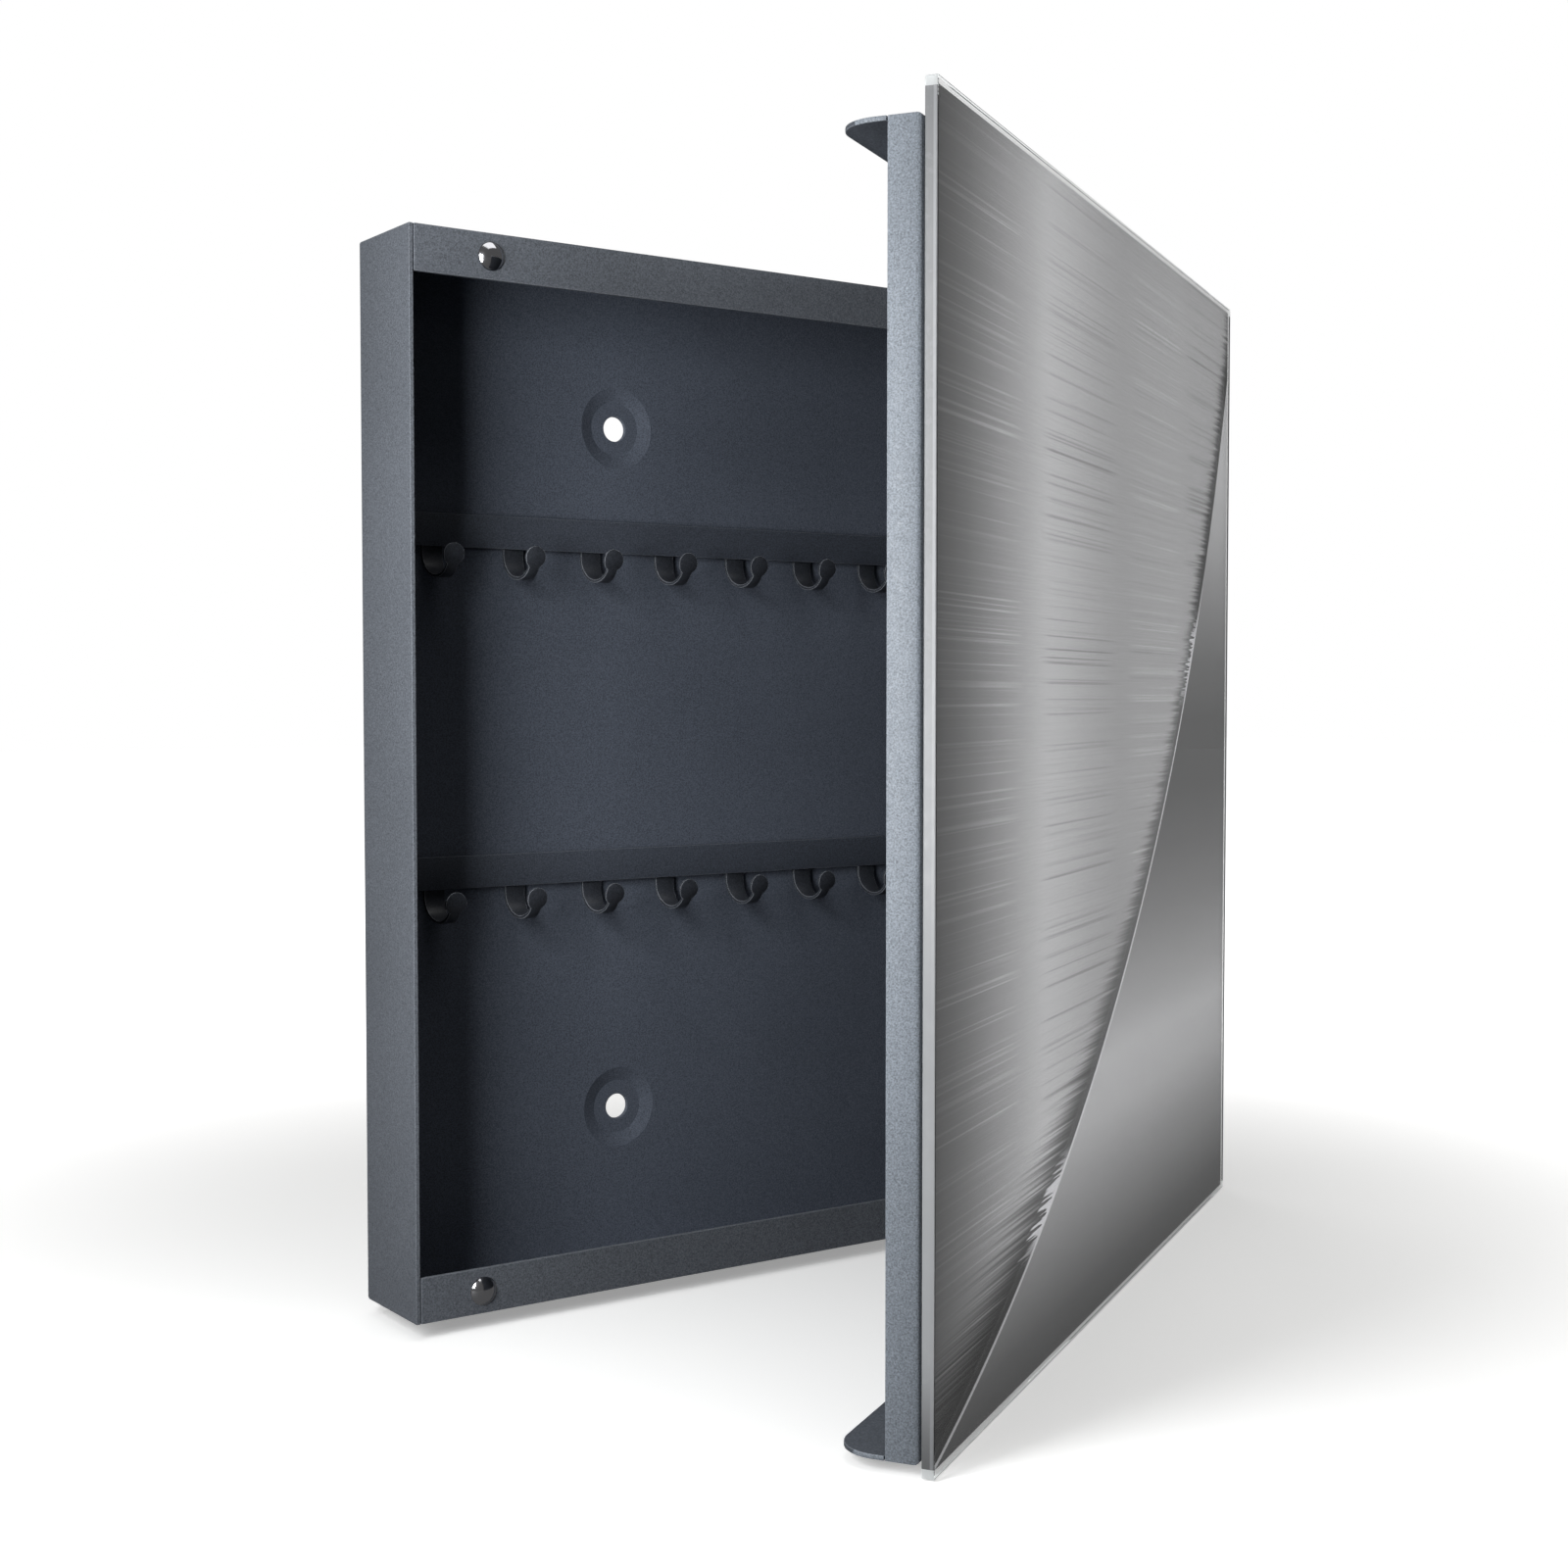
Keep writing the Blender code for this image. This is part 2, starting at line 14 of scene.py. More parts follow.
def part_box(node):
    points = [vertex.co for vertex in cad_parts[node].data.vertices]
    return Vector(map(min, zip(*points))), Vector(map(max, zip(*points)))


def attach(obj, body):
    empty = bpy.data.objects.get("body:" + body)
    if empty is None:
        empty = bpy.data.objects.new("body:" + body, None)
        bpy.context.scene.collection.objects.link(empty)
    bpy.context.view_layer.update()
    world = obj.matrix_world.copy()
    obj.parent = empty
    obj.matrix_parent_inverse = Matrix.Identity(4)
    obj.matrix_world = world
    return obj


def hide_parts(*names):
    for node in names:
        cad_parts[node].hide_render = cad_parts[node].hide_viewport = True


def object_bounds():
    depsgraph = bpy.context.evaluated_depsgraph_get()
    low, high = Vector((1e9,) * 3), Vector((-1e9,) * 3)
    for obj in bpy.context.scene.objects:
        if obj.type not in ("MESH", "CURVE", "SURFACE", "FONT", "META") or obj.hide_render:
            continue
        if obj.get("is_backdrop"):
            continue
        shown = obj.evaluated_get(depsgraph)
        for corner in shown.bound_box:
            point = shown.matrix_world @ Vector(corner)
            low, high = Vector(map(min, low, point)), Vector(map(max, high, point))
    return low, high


bl_info = {
    "name": "Wall key cabinet",
    "version": (1, 0, 0),
    "blender": (4, 5, 0),
    "location": "View3D > Sidebar > Key cabinet",
    "description": "Builds the pieces, the finishes and the stage of a wall key cabinet",
    "category": "Object",
}

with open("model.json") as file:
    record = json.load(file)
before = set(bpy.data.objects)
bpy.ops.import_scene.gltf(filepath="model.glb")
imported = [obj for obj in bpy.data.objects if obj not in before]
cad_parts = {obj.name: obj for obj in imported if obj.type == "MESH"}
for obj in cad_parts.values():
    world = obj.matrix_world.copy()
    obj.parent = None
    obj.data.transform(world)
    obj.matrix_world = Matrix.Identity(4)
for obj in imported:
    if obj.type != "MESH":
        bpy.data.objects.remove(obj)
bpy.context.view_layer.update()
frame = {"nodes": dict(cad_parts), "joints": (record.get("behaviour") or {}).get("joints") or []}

MM = 0.001
LEVELS = ("upper", "lower")
ENDS = ("top", "bottom")
HINGE = next(joint for joint in frame["joints"] if joint["name"] == "door_hinge")
PIVOT = Vector(HINGE["pos_m"])
OPEN_ANGLE = -math.radians(HINGE["range_deg"][0])
OPENED = Matrix.Translation(PIVOT) @ Matrix.Rotation(OPEN_ANGLE, 4, "Z")

CASE_SHEET = 1.2 * MM
TRAY_SHEET = 1.0 * MM
STUD_SEAT_Y = -33.65 * MM       # where the studs meet the lips
STUD_SHANK = 2.0 * MM
STUD_STEPS = 14
GRAIN_HEIGHT = 0.03 * MM        # of the powder coat
CRISP_CASE = math.radians(14)   # keeps the shallow dimples of the case crisp

WHITE = (1.0, 1.0, 1.0)
# Colour of the edges: rubbed paint, and a painted highlight
EDGE_WEAR_AND_HIGHLIGHT = (0.5, 0.53, 0.58, 1)
SPRING_STEEL = (0.3, 0.3, 0.31)
ZINC = (0.56, 0.58, 0.61)
NYLON = (0.72, 0.72, 0.7)
FOAM = (0.03, 0.03, 0.035)
BACKING = (0.36, 0.37, 0.38)


# Helpers for meshes

def link_object(name, mesh):
    obj = bpy.data.objects.new(name, mesh)
    bpy.context.scene.collection.objects.link(obj)
    return obj


def from_bmesh(name, bm, materials):
    """Object from a bmesh, with its doubles merged and its normals facing out."""
    bmesh.ops.remove_doubles(bm, verts=bm.verts, dist=1e-7)
    bmesh.ops.recalc_face_normals(bm, faces=bm.faces)
    mesh = bpy.data.meshes.new(name)
    bm.to_mesh(mesh)
    bm.free()
    for material in materials:
        mesh.materials.append(material)
    return link_object(name, mesh)


def bake_modifiers(obj):
    """The object's evaluated mesh in place of its modifiers."""
    graph = bpy.context.evaluated_depsgraph_get()
    graph.update()
    mesh = bpy.data.meshes.new_from_object(obj.evaluated_get(graph))
    obj.modifiers.clear()
    obj.data = mesh
    return obj


def shade(obj, angle):
    """Smooth shading, with edges sharper than the angle kept crisp."""
    obj.data.shade_smooth()
    obj.data.set_sharp_from_angle(angle=angle)


def round_edges(obj, width, segments=2, angle=math.radians(40)):
    mod = obj.modifiers.new("rounded edges", "BEVEL")
    mod.width = width
    mod.segments = segments
    mod.limit_method = "ANGLE"
    mod.angle_limit = angle
    mod.use_clamp_overlap = False
    bake_modifiers(obj)


def refined(node, name, materials, width, crisp=math.radians(33)):
    """Copy of a frame node with flat areas made whole and its edges rounded."""
    bm = bmesh.new()
    bm.from_mesh(frame["nodes"][node].data)
    bmesh.ops.remove_doubles(bm, verts=bm.verts, dist=2e-6)
    bmesh.ops.dissolve_limit(bm, angle_limit=math.radians(0.3), verts=bm.verts, edges=bm.edges)
    mesh = bpy.data.meshes.new(name)
    bm.to_mesh(mesh)
    bm.free()
    for layer in ("custom_normal", "sharp_edge"):
        if layer in mesh.attributes:
            mesh.attributes.remove(mesh.attributes[layer])
    for material in materials:
        mesh.materials.append(material)
    obj = link_object(name, mesh)
    if width:
        round_edges(obj, width)
    shade(obj, crisp)
    return obj


def place(obj, body, slot, *nodes):
    """Rides on a body and stands for frame nodes; the slot is not used."""
    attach(obj, body)
    if nodes:
        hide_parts(*nodes)
    return obj


def turned(profile, steps):
    """Solid of revolution about Z from (radius, height) pairs."""
    bm = bmesh.new()
    rings = []
    for radius, height in profile:
        if radius < 1e-7:
            rings.append([bm.verts.new((0, 0, height))])
            continue
        angles = [2 * math.pi * i / steps for i in range(steps)]
        rings.append([bm.verts.new((radius * math.cos(a), radius * math.sin(a), height)) for a in angles])
    for low, high in zip(rings, rings[1:]):
        for i in range(steps):
            j = (i + 1) % steps
            if len(low) == 1:
                bm.faces.new((low[0], high[j], high[i]))
            elif len(high) == 1:
                bm.faces.new((low[i], low[j], high[0]))
            else:
                bm.faces.new((low[i], low[j], high[j], high[i]))
    for ring in (rings[0], rings[-1]):
        if len(ring) > 1:
            bm.faces.new(ring)
    return bm


# Helpers for node trees

class Tree:
    """Adds and links nodes in one tree. An argument may be a socket or a plain value."""

    def __init__(self, tree):
        self.tree = tree

    def set_input(self, socket, value):
        if isinstance(value, bpy.types.NodeSocket):
            self.tree.links.new(value, socket)
        elif value is not None:
            socket.default_value = value

    def node(self, kind, inputs=None, **settings):
        made = self.tree.nodes.new(kind)
        for key, value in settings.items():
            setattr(made, key, value)
        for key, value in (inputs or {}).items():
            self.set_input(made.inputs[key], value)
        return made

    def math(self, operation, *values):
        made = self.node("ShaderNodeMath", operation=operation)
        for socket, value in zip(made.inputs, values):
            self.set_input(socket, value)
        return made.outputs[0]

    def remap(self, value, low, high, to_low=0.0, to_high=1.0, kind="SMOOTHSTEP"):
        made = self.node("ShaderNodeMapRange", interpolation_type=kind)
        for socket, given in zip(made.inputs, (value, low, high, to_low, to_high)):
            self.set_input(socket, given)
        return made.outputs[0]

    def mix(self, factor, first, second, blend="MIX"):
        made = self.node("ShaderNodeMix", data_type="RGBA", blend_type=blend)
        self.set_input(made.inputs[0], factor)
        self.set_input(made.inputs[6], first)
        self.set_input(made.inputs[7], second)
        return made.outputs[2]

    def noise(self, vector, scale, detail=2.0, roughness=0.5):
        inputs = {"Vector": vector, "Scale": scale, "Detail": detail, "Roughness": roughness}
        return self.node("ShaderNodeTexNoise", inputs).outputs["Fac"]

    def ramp(self, value, stops):
        """Straight grey ramp from (position, tone) pairs."""
        made = self.node("ShaderNodeValToRGB", {"Fac": value})
        made.color_ramp.interpolation = "LINEAR"
        points = made.color_ramp.elements
        while len(points) > 1:
            points.remove(points[-1])
        for index, (at, tone) in enumerate(stops):
            point = points[0] if index == 0 else points.new(at)
            point.position = at
            point.color = (tone, tone, tone, 1)
        return made.outputs["Color"]

    def group(self, tree, inputs):
        made = self.node("ShaderNodeGroup", node_tree=tree)
        for key, value in inputs.items():
            self.set_input(made.inputs[key], value)
        return made


def new_group(name, inputs, outputs):
    """Shader node group with named sockets. inputs holds (name, kind, default)."""
    tree = bpy.data.node_groups.new(name, "ShaderNodeTree")
    for title, kind, default in inputs:
        socket = tree.interface.new_socket(title, in_out="INPUT", socket_type=kind)
        if default is not None:
            socket.default_value = default
    for title, kind in outputs:
        tree.interface.new_socket(title, in_out="OUTPUT", socket_type=kind)
    made = Tree(tree)
    return made, made.node("NodeGroupInput"), made.node("NodeGroupOutput")


FLOAT = "NodeSocketFloat"
COLOR = "NodeSocketColor"
VECTOR = "NodeSocketVector"


def grain_group():
    """Fine powder-coat grain: speckled colour, uneven gloss and the height of the grain."""
    made, given, out = new_group(
        "powder grain",
        [("Vector", VECTOR, None), ("Color", COLOR, (0.1, 0.1, 0.1, 1)), ("Grain", FLOAT, 2600.0),
         ("Speckle", FLOAT, 0.4), ("Gloss", FLOAT, 0.45)],
        [("Color", COLOR), ("Roughness", FLOAT), ("Height", FLOAT)])
    vector = given.outputs["Vector"]
    fine = made.noise(vector, given.outputs["Grain"], 2.0, 0.6)
    pores = made.noise(vector, made.math("MULTIPLY", given.outputs["Grain"], 0.31), 1.0)
    cloud = made.noise(vector, 14.0, 2.0)
    spread = made.math("MULTIPLY", made.math("SUBTRACT", fine, 0.5), given.outputs["Speckle"])
    spread = made.math("MULTIPLY_ADD", spread, 5.0, 1.0)
    drift = made.remap(cloud, 0.3, 0.7, 0.94, 1.06)
    level = made.math("MULTIPLY", spread, drift)
    tone = made.node("ShaderNodeVectorMath", operation="SCALE")
    made.set_input(tone.inputs[0], given.outputs["Color"])
    made.set_input(tone.inputs["Scale"], level)
    made.set_input(out.inputs["Color"], tone.outputs[0])
    uneven = made.math("MULTIPLY_ADD", made.math("SUBTRACT", pores, 0.5), 0.3, given.outputs["Gloss"])
    made.set_input(out.inputs["Roughness"], uneven)
    made.set_input(out.inputs["Height"], made.math("ADD", made.math("MULTIPLY", fine, 0.4), pores))
    return made.tree


def edge_group():
    """Mask of the edges within a radius, where paint is thin and rubbed bright, and where a highlight is
    painted.
    """
    made, given, out = new_group("edge mask", [("Radius", FLOAT, 0.0005)], [("Mask", FLOAT)])
    rounded = made.node("ShaderNodeBevel", {"Radius": given.outputs["Radius"]}, samples=4)
    true = made.node("ShaderNodeNewGeometry")
    turned_by = made.node("ShaderNodeVectorMath", operation="DOT_PRODUCT")
    made.set_input(turned_by.inputs[0], rounded.outputs[0])
    made.set_input(turned_by.inputs[1], true.outputs["Normal"])
    away = made.math("SUBTRACT", 1.0, turned_by.outputs["Value"])
    made.set_input(out.inputs["Mask"], made.remap(away, 0.01, 0.16))
    return made.tree


def streak_group():
    """Brushed streaks: long noise along X, fine across Y. Lines holds only the strongest."""
    made, given, out = new_group(
        "brushed streaks",
        [("Vector", VECTOR, None), ("Along", FLOAT, 4.0), ("Across", FLOAT, 400.0), ("Seed", FLOAT, 0.0),
         ("Sparse", FLOAT, 0.56)],
        [("Tone", FLOAT), ("Lines", FLOAT)])
    parts = made.node("ShaderNodeSeparateXYZ", {"Vector": given.outputs["Vector"]})
    along = made.math("MULTIPLY", parts.outputs["X"], given.outputs["Along"])
    across = made.math("MULTIPLY", parts.outputs["Y"], given.outputs["Across"])
    point = made.node("ShaderNodeCombineXYZ", {"X": along, "Y": across, "Z": given.outputs["Seed"]})
    tone = made.noise(point.outputs[0], 1.0, 3.0, 0.6)
    made.set_input(out.inputs["Tone"], tone)
    strong = made.math("ADD", given.outputs["Sparse"], 0.13)
    made.set_input(out.inputs["Lines"], made.remap(tone, given.outputs["Sparse"], strong))
    return made.tree


def new_material(name):
    """(material, its tree, its Principled node, its object coordinates)"""
    material = bpy.data.materials.new(name)
    material.use_nodes = True
    made = Tree(material.node_tree)
    shader = material.node_tree.nodes["Principled BSDF"]
    place_of = made.node("ShaderNodeTexCoord").outputs["Object"]
    return material, made, shader, place_of


GROUPS = {}


def shared(name):
    """A shared node group, built the first time that it is asked for."""
    makers = {"grain": grain_group, "edge": edge_group, "streaks": streak_group}
    if name not in GROUPS:
        GROUPS[name] = makers[name]()
    return GROUPS[name]


def powder_coat(name, color, gloss, edge):
    """Powder-coated steel with a fine grain, lighter along its edges: thin, rubbed paint and a painted
    highlight.
    """
    material, made, shader, at = new_material(name)
    paint = (*color, 1)
    grain = made.group(shared("grain"), {"Vector": at, "Color": paint, "Gloss": gloss})
    # Lighter edges: partly rubbed paint, partly a painted highlight; edge sets how much.
    wear_and_highlight = made.group(shared("edge"), {"Radius": 0.35 * MM})
    bright = made.math("MULTIPLY", wear_and_highlight.outputs["Mask"], edge)
    made.set_input(shader.inputs["Base Color"], made.mix(bright, grain.outputs["Color"], EDGE_WEAR_AND_HIGHLIGHT))
    made.set_input(shader.inputs["Roughness"], grain.outputs["Roughness"])
    shader.inputs["Specular IOR Level"].default_value = 0.3
    bump = made.node("ShaderNodeBump", {"Height": grain.outputs["Height"], "Distance": GRAIN_HEIGHT,
                                        "Strength": 0.55})
    made.set_input(shader.inputs["Normal"], bump.outputs[0])
    return material


def bare_metal(name, color, gloss, scratch, along, across):
    """Plated or drawn metal with fine marks that follow the object's axes."""
    material, made, shader, at = new_material(name)
    marks = made.group(shared("streaks"), {"Vector": at, "Along": along, "Across": across})
    cloud = made.noise(at, 260.0, 2.0)
    level = made.remap(marks.outputs["Tone"], 0.3, 0.7, 1.0 - scratch, 1.0)
    tone = made.mix(level, (color[0] * 0.6, color[1] * 0.6, color[2] * 0.6, 1), (*color, 1))
    made.set_input(shader.inputs["Base Color"], tone)
    shader.inputs["Metallic"].default_value = 1.0
    made.set_input(shader.inputs["Roughness"], made.remap(cloud, 0.3, 0.7, gloss * 0.7, gloss * 1.3))
    bump = made.node("ShaderNodeBump", {"Height": marks.outputs["Tone"], "Distance": 0.004 * MM,
                                        "Strength": scratch})
    made.set_input(shader.inputs["Normal"], bump.outputs[0])
    return material


def show_mix(material, made, share, first, second):
    """Shows the first shader, with a share of the second."""
    both = made.node("ShaderNodeMixShader", {0: share, 1: first.outputs[0], 2: second.outputs[0]})
    made.set_input(material.node_tree.nodes["Material Output"].inputs["Surface"], both.outputs[0])


def plain_plastic(name, color, gloss, spread):
    """Moulded or foamed plastic with a fine mottled surface."""
    material, made, shader, at = new_material(name)
    grain = made.group(shared("grain"), {"Vector": at, "Color": (*color, 1), "Grain": 1500.0,
                                         "Speckle": spread, "Gloss": gloss})
    made.set_input(shader.inputs["Base Color"], grain.outputs["Color"])
    made.set_input(shader.inputs["Roughness"], grain.outputs["Roughness"])
    bump = made.node("ShaderNodeBump", {"Height": grain.outputs["Height"], "Distance": 0.05 * MM,
                                        "Strength": 0.4})
    made.set_input(shader.inputs["Normal"], bump.outputs[0])
    return material


# Sizes and colours that a user would change

def color_prop(name, description, default):
    return bpy.props.FloatVectorProperty(
        name=name, description=description, default=default, size=3, min=0.0, max=1.0, subtype="COLOR")


def length_prop(name, description, default):
    return bpy.props.FloatProperty(
        name=name, description=description, default=default, min=0.0, unit="LENGTH", precision=5)


def share_prop(name, description, default):
    return bpy.props.FloatProperty(
        name=name, description=description, default=default, min=0.0, max=1.0, subtype="FACTOR")


def power_prop(name, description, default):
    return bpy.props.FloatProperty(
        name=name, description=description, default=default, min=0.0, unit="POWER")


class CabinetPaint(bpy.types.PropertyGroup):
    outside: color_prop("Outside", "Paint on the walls and the lips of the case", (0.115, 0.125, 0.142))
    # The inside is a darker copy of the outside paint: painted shade inside the case.
    inside: color_prop("Inside", "Paint on the inside of the case", (0.084, 0.096, 0.122))
    rail: color_prop("Rails", "Paint on the two hook rails", (0.048, 0.055, 0.070))
    hook: color_prop("Hooks", "Paint on the hooks", (0.030, 0.033, 0.040))
    # Lighter copy of the tray's paint: painted light on the side flange.
    door_side_lit: color_prop("Door, side", "Paint on the side flange of the door tray", (0.21, 0.233, 0.262))
    door_back: color_prop("Door, back", "Paint on the back of the tray and its ears", (0.075, 0.083, 0.096))
    edge_round: length_prop("Edge rounding", "Radius of the paint over a cut edge", 0.18 * MM)


class HookSizes(bpy.types.PropertyGroup):
    count: bpy.props.IntProperty(name="Hooks", description="Hooks on each rail", default=11, min=1)
    pitch: length_prop("Pitch", "Distance from one hook to the next", 25.0 * MM)
    thickness: length_prop("Thickness", "Thickness of the strip", 0.9 * MM)
    tab: length_prop("Tab", "Width of the strip behind the rail", 6.2 * MM)
    neck: length_prop("Neck", "Width of the strip before its tip", 3.2 * MM)
    disc: length_prop("Disc", "Radius of the round tip", 3.1 * MM)
    bend: length_prop("Bend", "Radius of the hook to the middle of the strip", 6.8 * MM)
    drop: length_prop("Drop", "Straight stretch below the rail", 1.6 * MM)
    overlap: length_prop("Overlap", "Stretch behind the rail", 7.0 * MM)


class StudLook(bpy.types.PropertyGroup):
    tint: color_prop("Nickel", "Colour of the polished studs", (0.5, 0.5, 0.52))
    polish: share_prop("Roughness", "Roughness of the polished studs", 0.13)


class PrintLook(bpy.types.PropertyGroup):
    arc_across: length_prop("Arc centre, across", "How far the centre is past the free edge", 137.8 * MM)
    arc_up: length_prop("Arc centre, up", "Height of the arc's centre over the middle", 300.1 * MM)
    arc_radius: length_prop("Arc radius", "Radius of the line between brushed and polished", 469.8 * MM)
    line: length_prop("Line", "Width of the bright line", 1.1 * MM)
    shade: length_prop("Shade", "Width of the dark band beside the line", 14.0 * MM)


class GlassLook(bpy.types.PropertyGroup):
    # The two edge tones are painted light and shade on the ground edges.
    edge_shading_head: color_prop("Edge, head", "Colour of the ground edges at the head", (0.17, 0.172, 0.176))
    edge_shading_foot: color_prop("Edge, foot", "Colour of the ground edges at the foot", (0.36, 0.365, 0.37))
    smear: share_prop("Smears", "Roughness of the glass where it is smeared", 0.01)
    arris: length_prop("Arris", "Chamfer along the edges of the glass", 0.3 * MM)


class StageLook(bpy.types.PropertyGroup):
    floor: color_prop("Floor", "Colour of the floor", (0.86, 0.855, 0.845))
    floor_glow: share_prop("Floor glow", "Light added to the floor near the object", 0.31)
    key_power: power_prop("Key light", "Power of the soft light on the left", 1.6)
    front_power: power_prop("Front light", "Power of the soft light on the right", 14.6)
    top_power: power_prop("Top light", "Power of the soft light above", 10.0)
    back_power: power_prop("Back light", "Power of the soft light behind the cabinet", 4.0)
    room: share_prop("Room", "Brightness of the room around the object", 0.035)
    mirrored: share_prop("Mirrored room", "Brightness of the room in reflections", 0.13)


# Pieces

class CABINET_OT_shell(bpy.types.Operator):
    """Case: folded sheet with painted walls, lips and screw dimples, and its inside painted darker as shade
    """

    bl_idname = "cabinet.shell"
    bl_label = "Case"

    def execute(self, context):
        look = context.scene.cabinet_paint
        outside = powder_coat("powder_coat_anthracite", look.outside, 0.55, 0.3)
        # Painted shade: the faces inside the case get a darker copy of the paint.
        inside = powder_coat("powder_coat_inside", look.inside, 0.58, 0.3)
        obj = refined("cabinet_shell", "case_shell", [outside, inside], look.edge_round, CRISP_CASE)
        low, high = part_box("cabinet_shell")
        margin = 0.5 * CASE_SHEET
        lips = low.y + 0.6 * CASE_SHEET
        for face in obj.data.polygons:
            x, y, z = face.center
            within = low.x + margin < x < high.x - margin and low.z + margin < z < high.z - margin
            if within and y > lips and face.normal.y < 0.5:
                face.material_index = 1
        place(obj, "cabinet", "powder_coat_anthracite", "cabinet_shell")
        return {"FINISHED"}


class CABINET_OT_rails(bpy.types.Operator):
    """Two flat rails that the hooks hang from"""

    bl_idname = "cabinet.rails"
    bl_label = "Hook rails"

    def execute(self, context):
        look = context.scene.cabinet_paint
        paint = powder_coat("powder_coat_rail", look.rail, 0.56, 0.3)
        for level in LEVELS:
            obj = refined(f"hook_rail_{level}", f"rail_{level}", [paint], 0)
            place(obj, "cabinet", "powder_coat_rail", f"hook_rail_{level}")
        return {"FINISHED"}


def hook_line(sizes, back):
    """Points (distance along, y, z, tangent y, tangent z) down the middle of the strip.

    z = 0 is the rail's lower edge.
    """
    step = math.radians(6)
    y = back - sizes.thickness / 2
    start = sizes.overlap + sizes.drop
    line = [(0.0, y, sizes.overlap, 0.0, -1.0), (start, y, -sizes.drop, 0.0, -1.0)]
    for i in range(1, 31):
        a = i * step
        line.append((
            start + sizes.bend * a, y - sizes.bend * (1 - math.cos(a)),
            -sizes.drop - sizes.bend * math.sin(a), -math.sin(a), -math.cos(a)))
    along, y, z = line[-1][:3]
    rise = sizes.disc - sizes.bend * math.radians(10)
    line.append((along + rise, y, z + rise, 0.0, 1.0))
    return line


def hook_half_width(sizes, along, total):
    """Half the width of the strip: straight tab, taper to the neck, then the round disc."""
    start = sizes.overlap + sizes.drop
    middle = total - sizes.disc
    if along <= start:
        return sizes.tab / 2
    disc = math.sqrt(max(sizes.disc ** 2 - (along - middle) ** 2, 0.0))
    neck_at = middle - 0.86 * sizes.disc
    share = min(1.0, (along - start) / (neck_at - start))
    eased = share * share * (3 - 2 * share)
    strip = sizes.tab / 2 + (sizes.neck / 2 - sizes.tab / 2) * eased
    return disc if along > middle else max(strip, disc)


def hook_mesh(sizes, back, paint):
    """One hook as a bent strip with rounded edges."""
    line = hook_line(sizes, back)
    total = line[-1][0]
    first_disc = total - 2 * sizes.disc
    marks = [row[0] for row in line if row[0] < first_disc]
    marks += [total - sizes.disc - sizes.disc * math.cos(math.pi * k / 20) for k in range(21)]
    bm = bmesh.new()
    loops = []
    for mark in marks:
        a, b = next((a, b) for a, b in zip(line, line[1:]) if a[0] <= mark <= b[0] + 1e-9)
        share = (mark - a[0]) / (b[0] - a[0])
        _, y, z, ty, tz = (p + (q - p) * share for p, q in zip(a, b))
        half = max(hook_half_width(sizes, mark, total), 0.3 * MM)
        length = math.hypot(ty, tz)
        ny = -tz / length * sizes.thickness / 2
        nz = ty / length * sizes.thickness / 2
        near = (y + ny, z + nz)
        far = (y - ny, z - nz)
        corners = ((-half, *near), (half, *near), (half, *far), (-half, *far))
        loops.append([bm.verts.new(c) for c in corners])
    for a, b in zip(loops, loops[1:]):
        for i in range(4):
            j = (i + 1) % 4
            bm.faces.new((a[i], a[j], b[j], b[i]))
    bm.faces.new(loops[0])
    bm.faces.new(loops[-1][::-1])
    obj = from_bmesh("hook_pattern", bm, [paint])
    round_edges(obj, 0.13 * MM, 2, math.radians(50))
    shade(obj, math.radians(38))
    return obj


def hook_row_tree():
    """Geometry Nodes: a row of copies of one hook at an even pitch."""
    tree = bpy.data.node_groups.new("hook row", "GeometryNodeTree")
    for title, kind in (
            ("Hook", "NodeSocketObject"), ("Count", "NodeSocketInt"), ("Pitch", "NodeSocketFloat"),
            ("First", "NodeSocketVector"), ("Finish", "NodeSocketMaterial")):
        tree.interface.new_socket(title, in_out="INPUT", socket_type=kind)
    tree.interface.new_socket("Geometry", in_out="OUTPUT", socket_type="NodeSocketGeometry")
    made = Tree(tree)
    given = made.node("NodeGroupInput").outputs
    step = made.node("ShaderNodeCombineXYZ", {"X": given["Pitch"]})
    line = made.node("GeometryNodeMeshLine", {
        "Count": given["Count"], "Start Location": given["First"], "Offset": step.outputs[0]})
    hook = made.node("GeometryNodeObjectInfo", {"Object": given["Hook"]})
    copies = made.node("GeometryNodeInstanceOnPoints", {
        "Points": line.outputs["Mesh"], "Instance": hook.outputs["Geometry"]})
    real = made.node("GeometryNodeRealizeInstances", {"Geometry": copies.outputs["Instances"]})
    painted = made.node("GeometryNodeSetMaterial", {
        "Geometry": real.outputs["Geometry"], "Material": given["Finish"]})
    made.node("NodeGroupOutput", {"Geometry": painted.outputs["Geometry"]})
    return tree


def set_modifier(mod, name, value):
    """Sets a Geometry Nodes input by its socket's identifier."""
    for item in mod.node_group.interface.items_tree:
        if item.in_out == "INPUT" and item.name == name:
            mod[item.identifier] = value
            return
    raise ValueError(f"{mod.node_group.name} has no input named {name}")


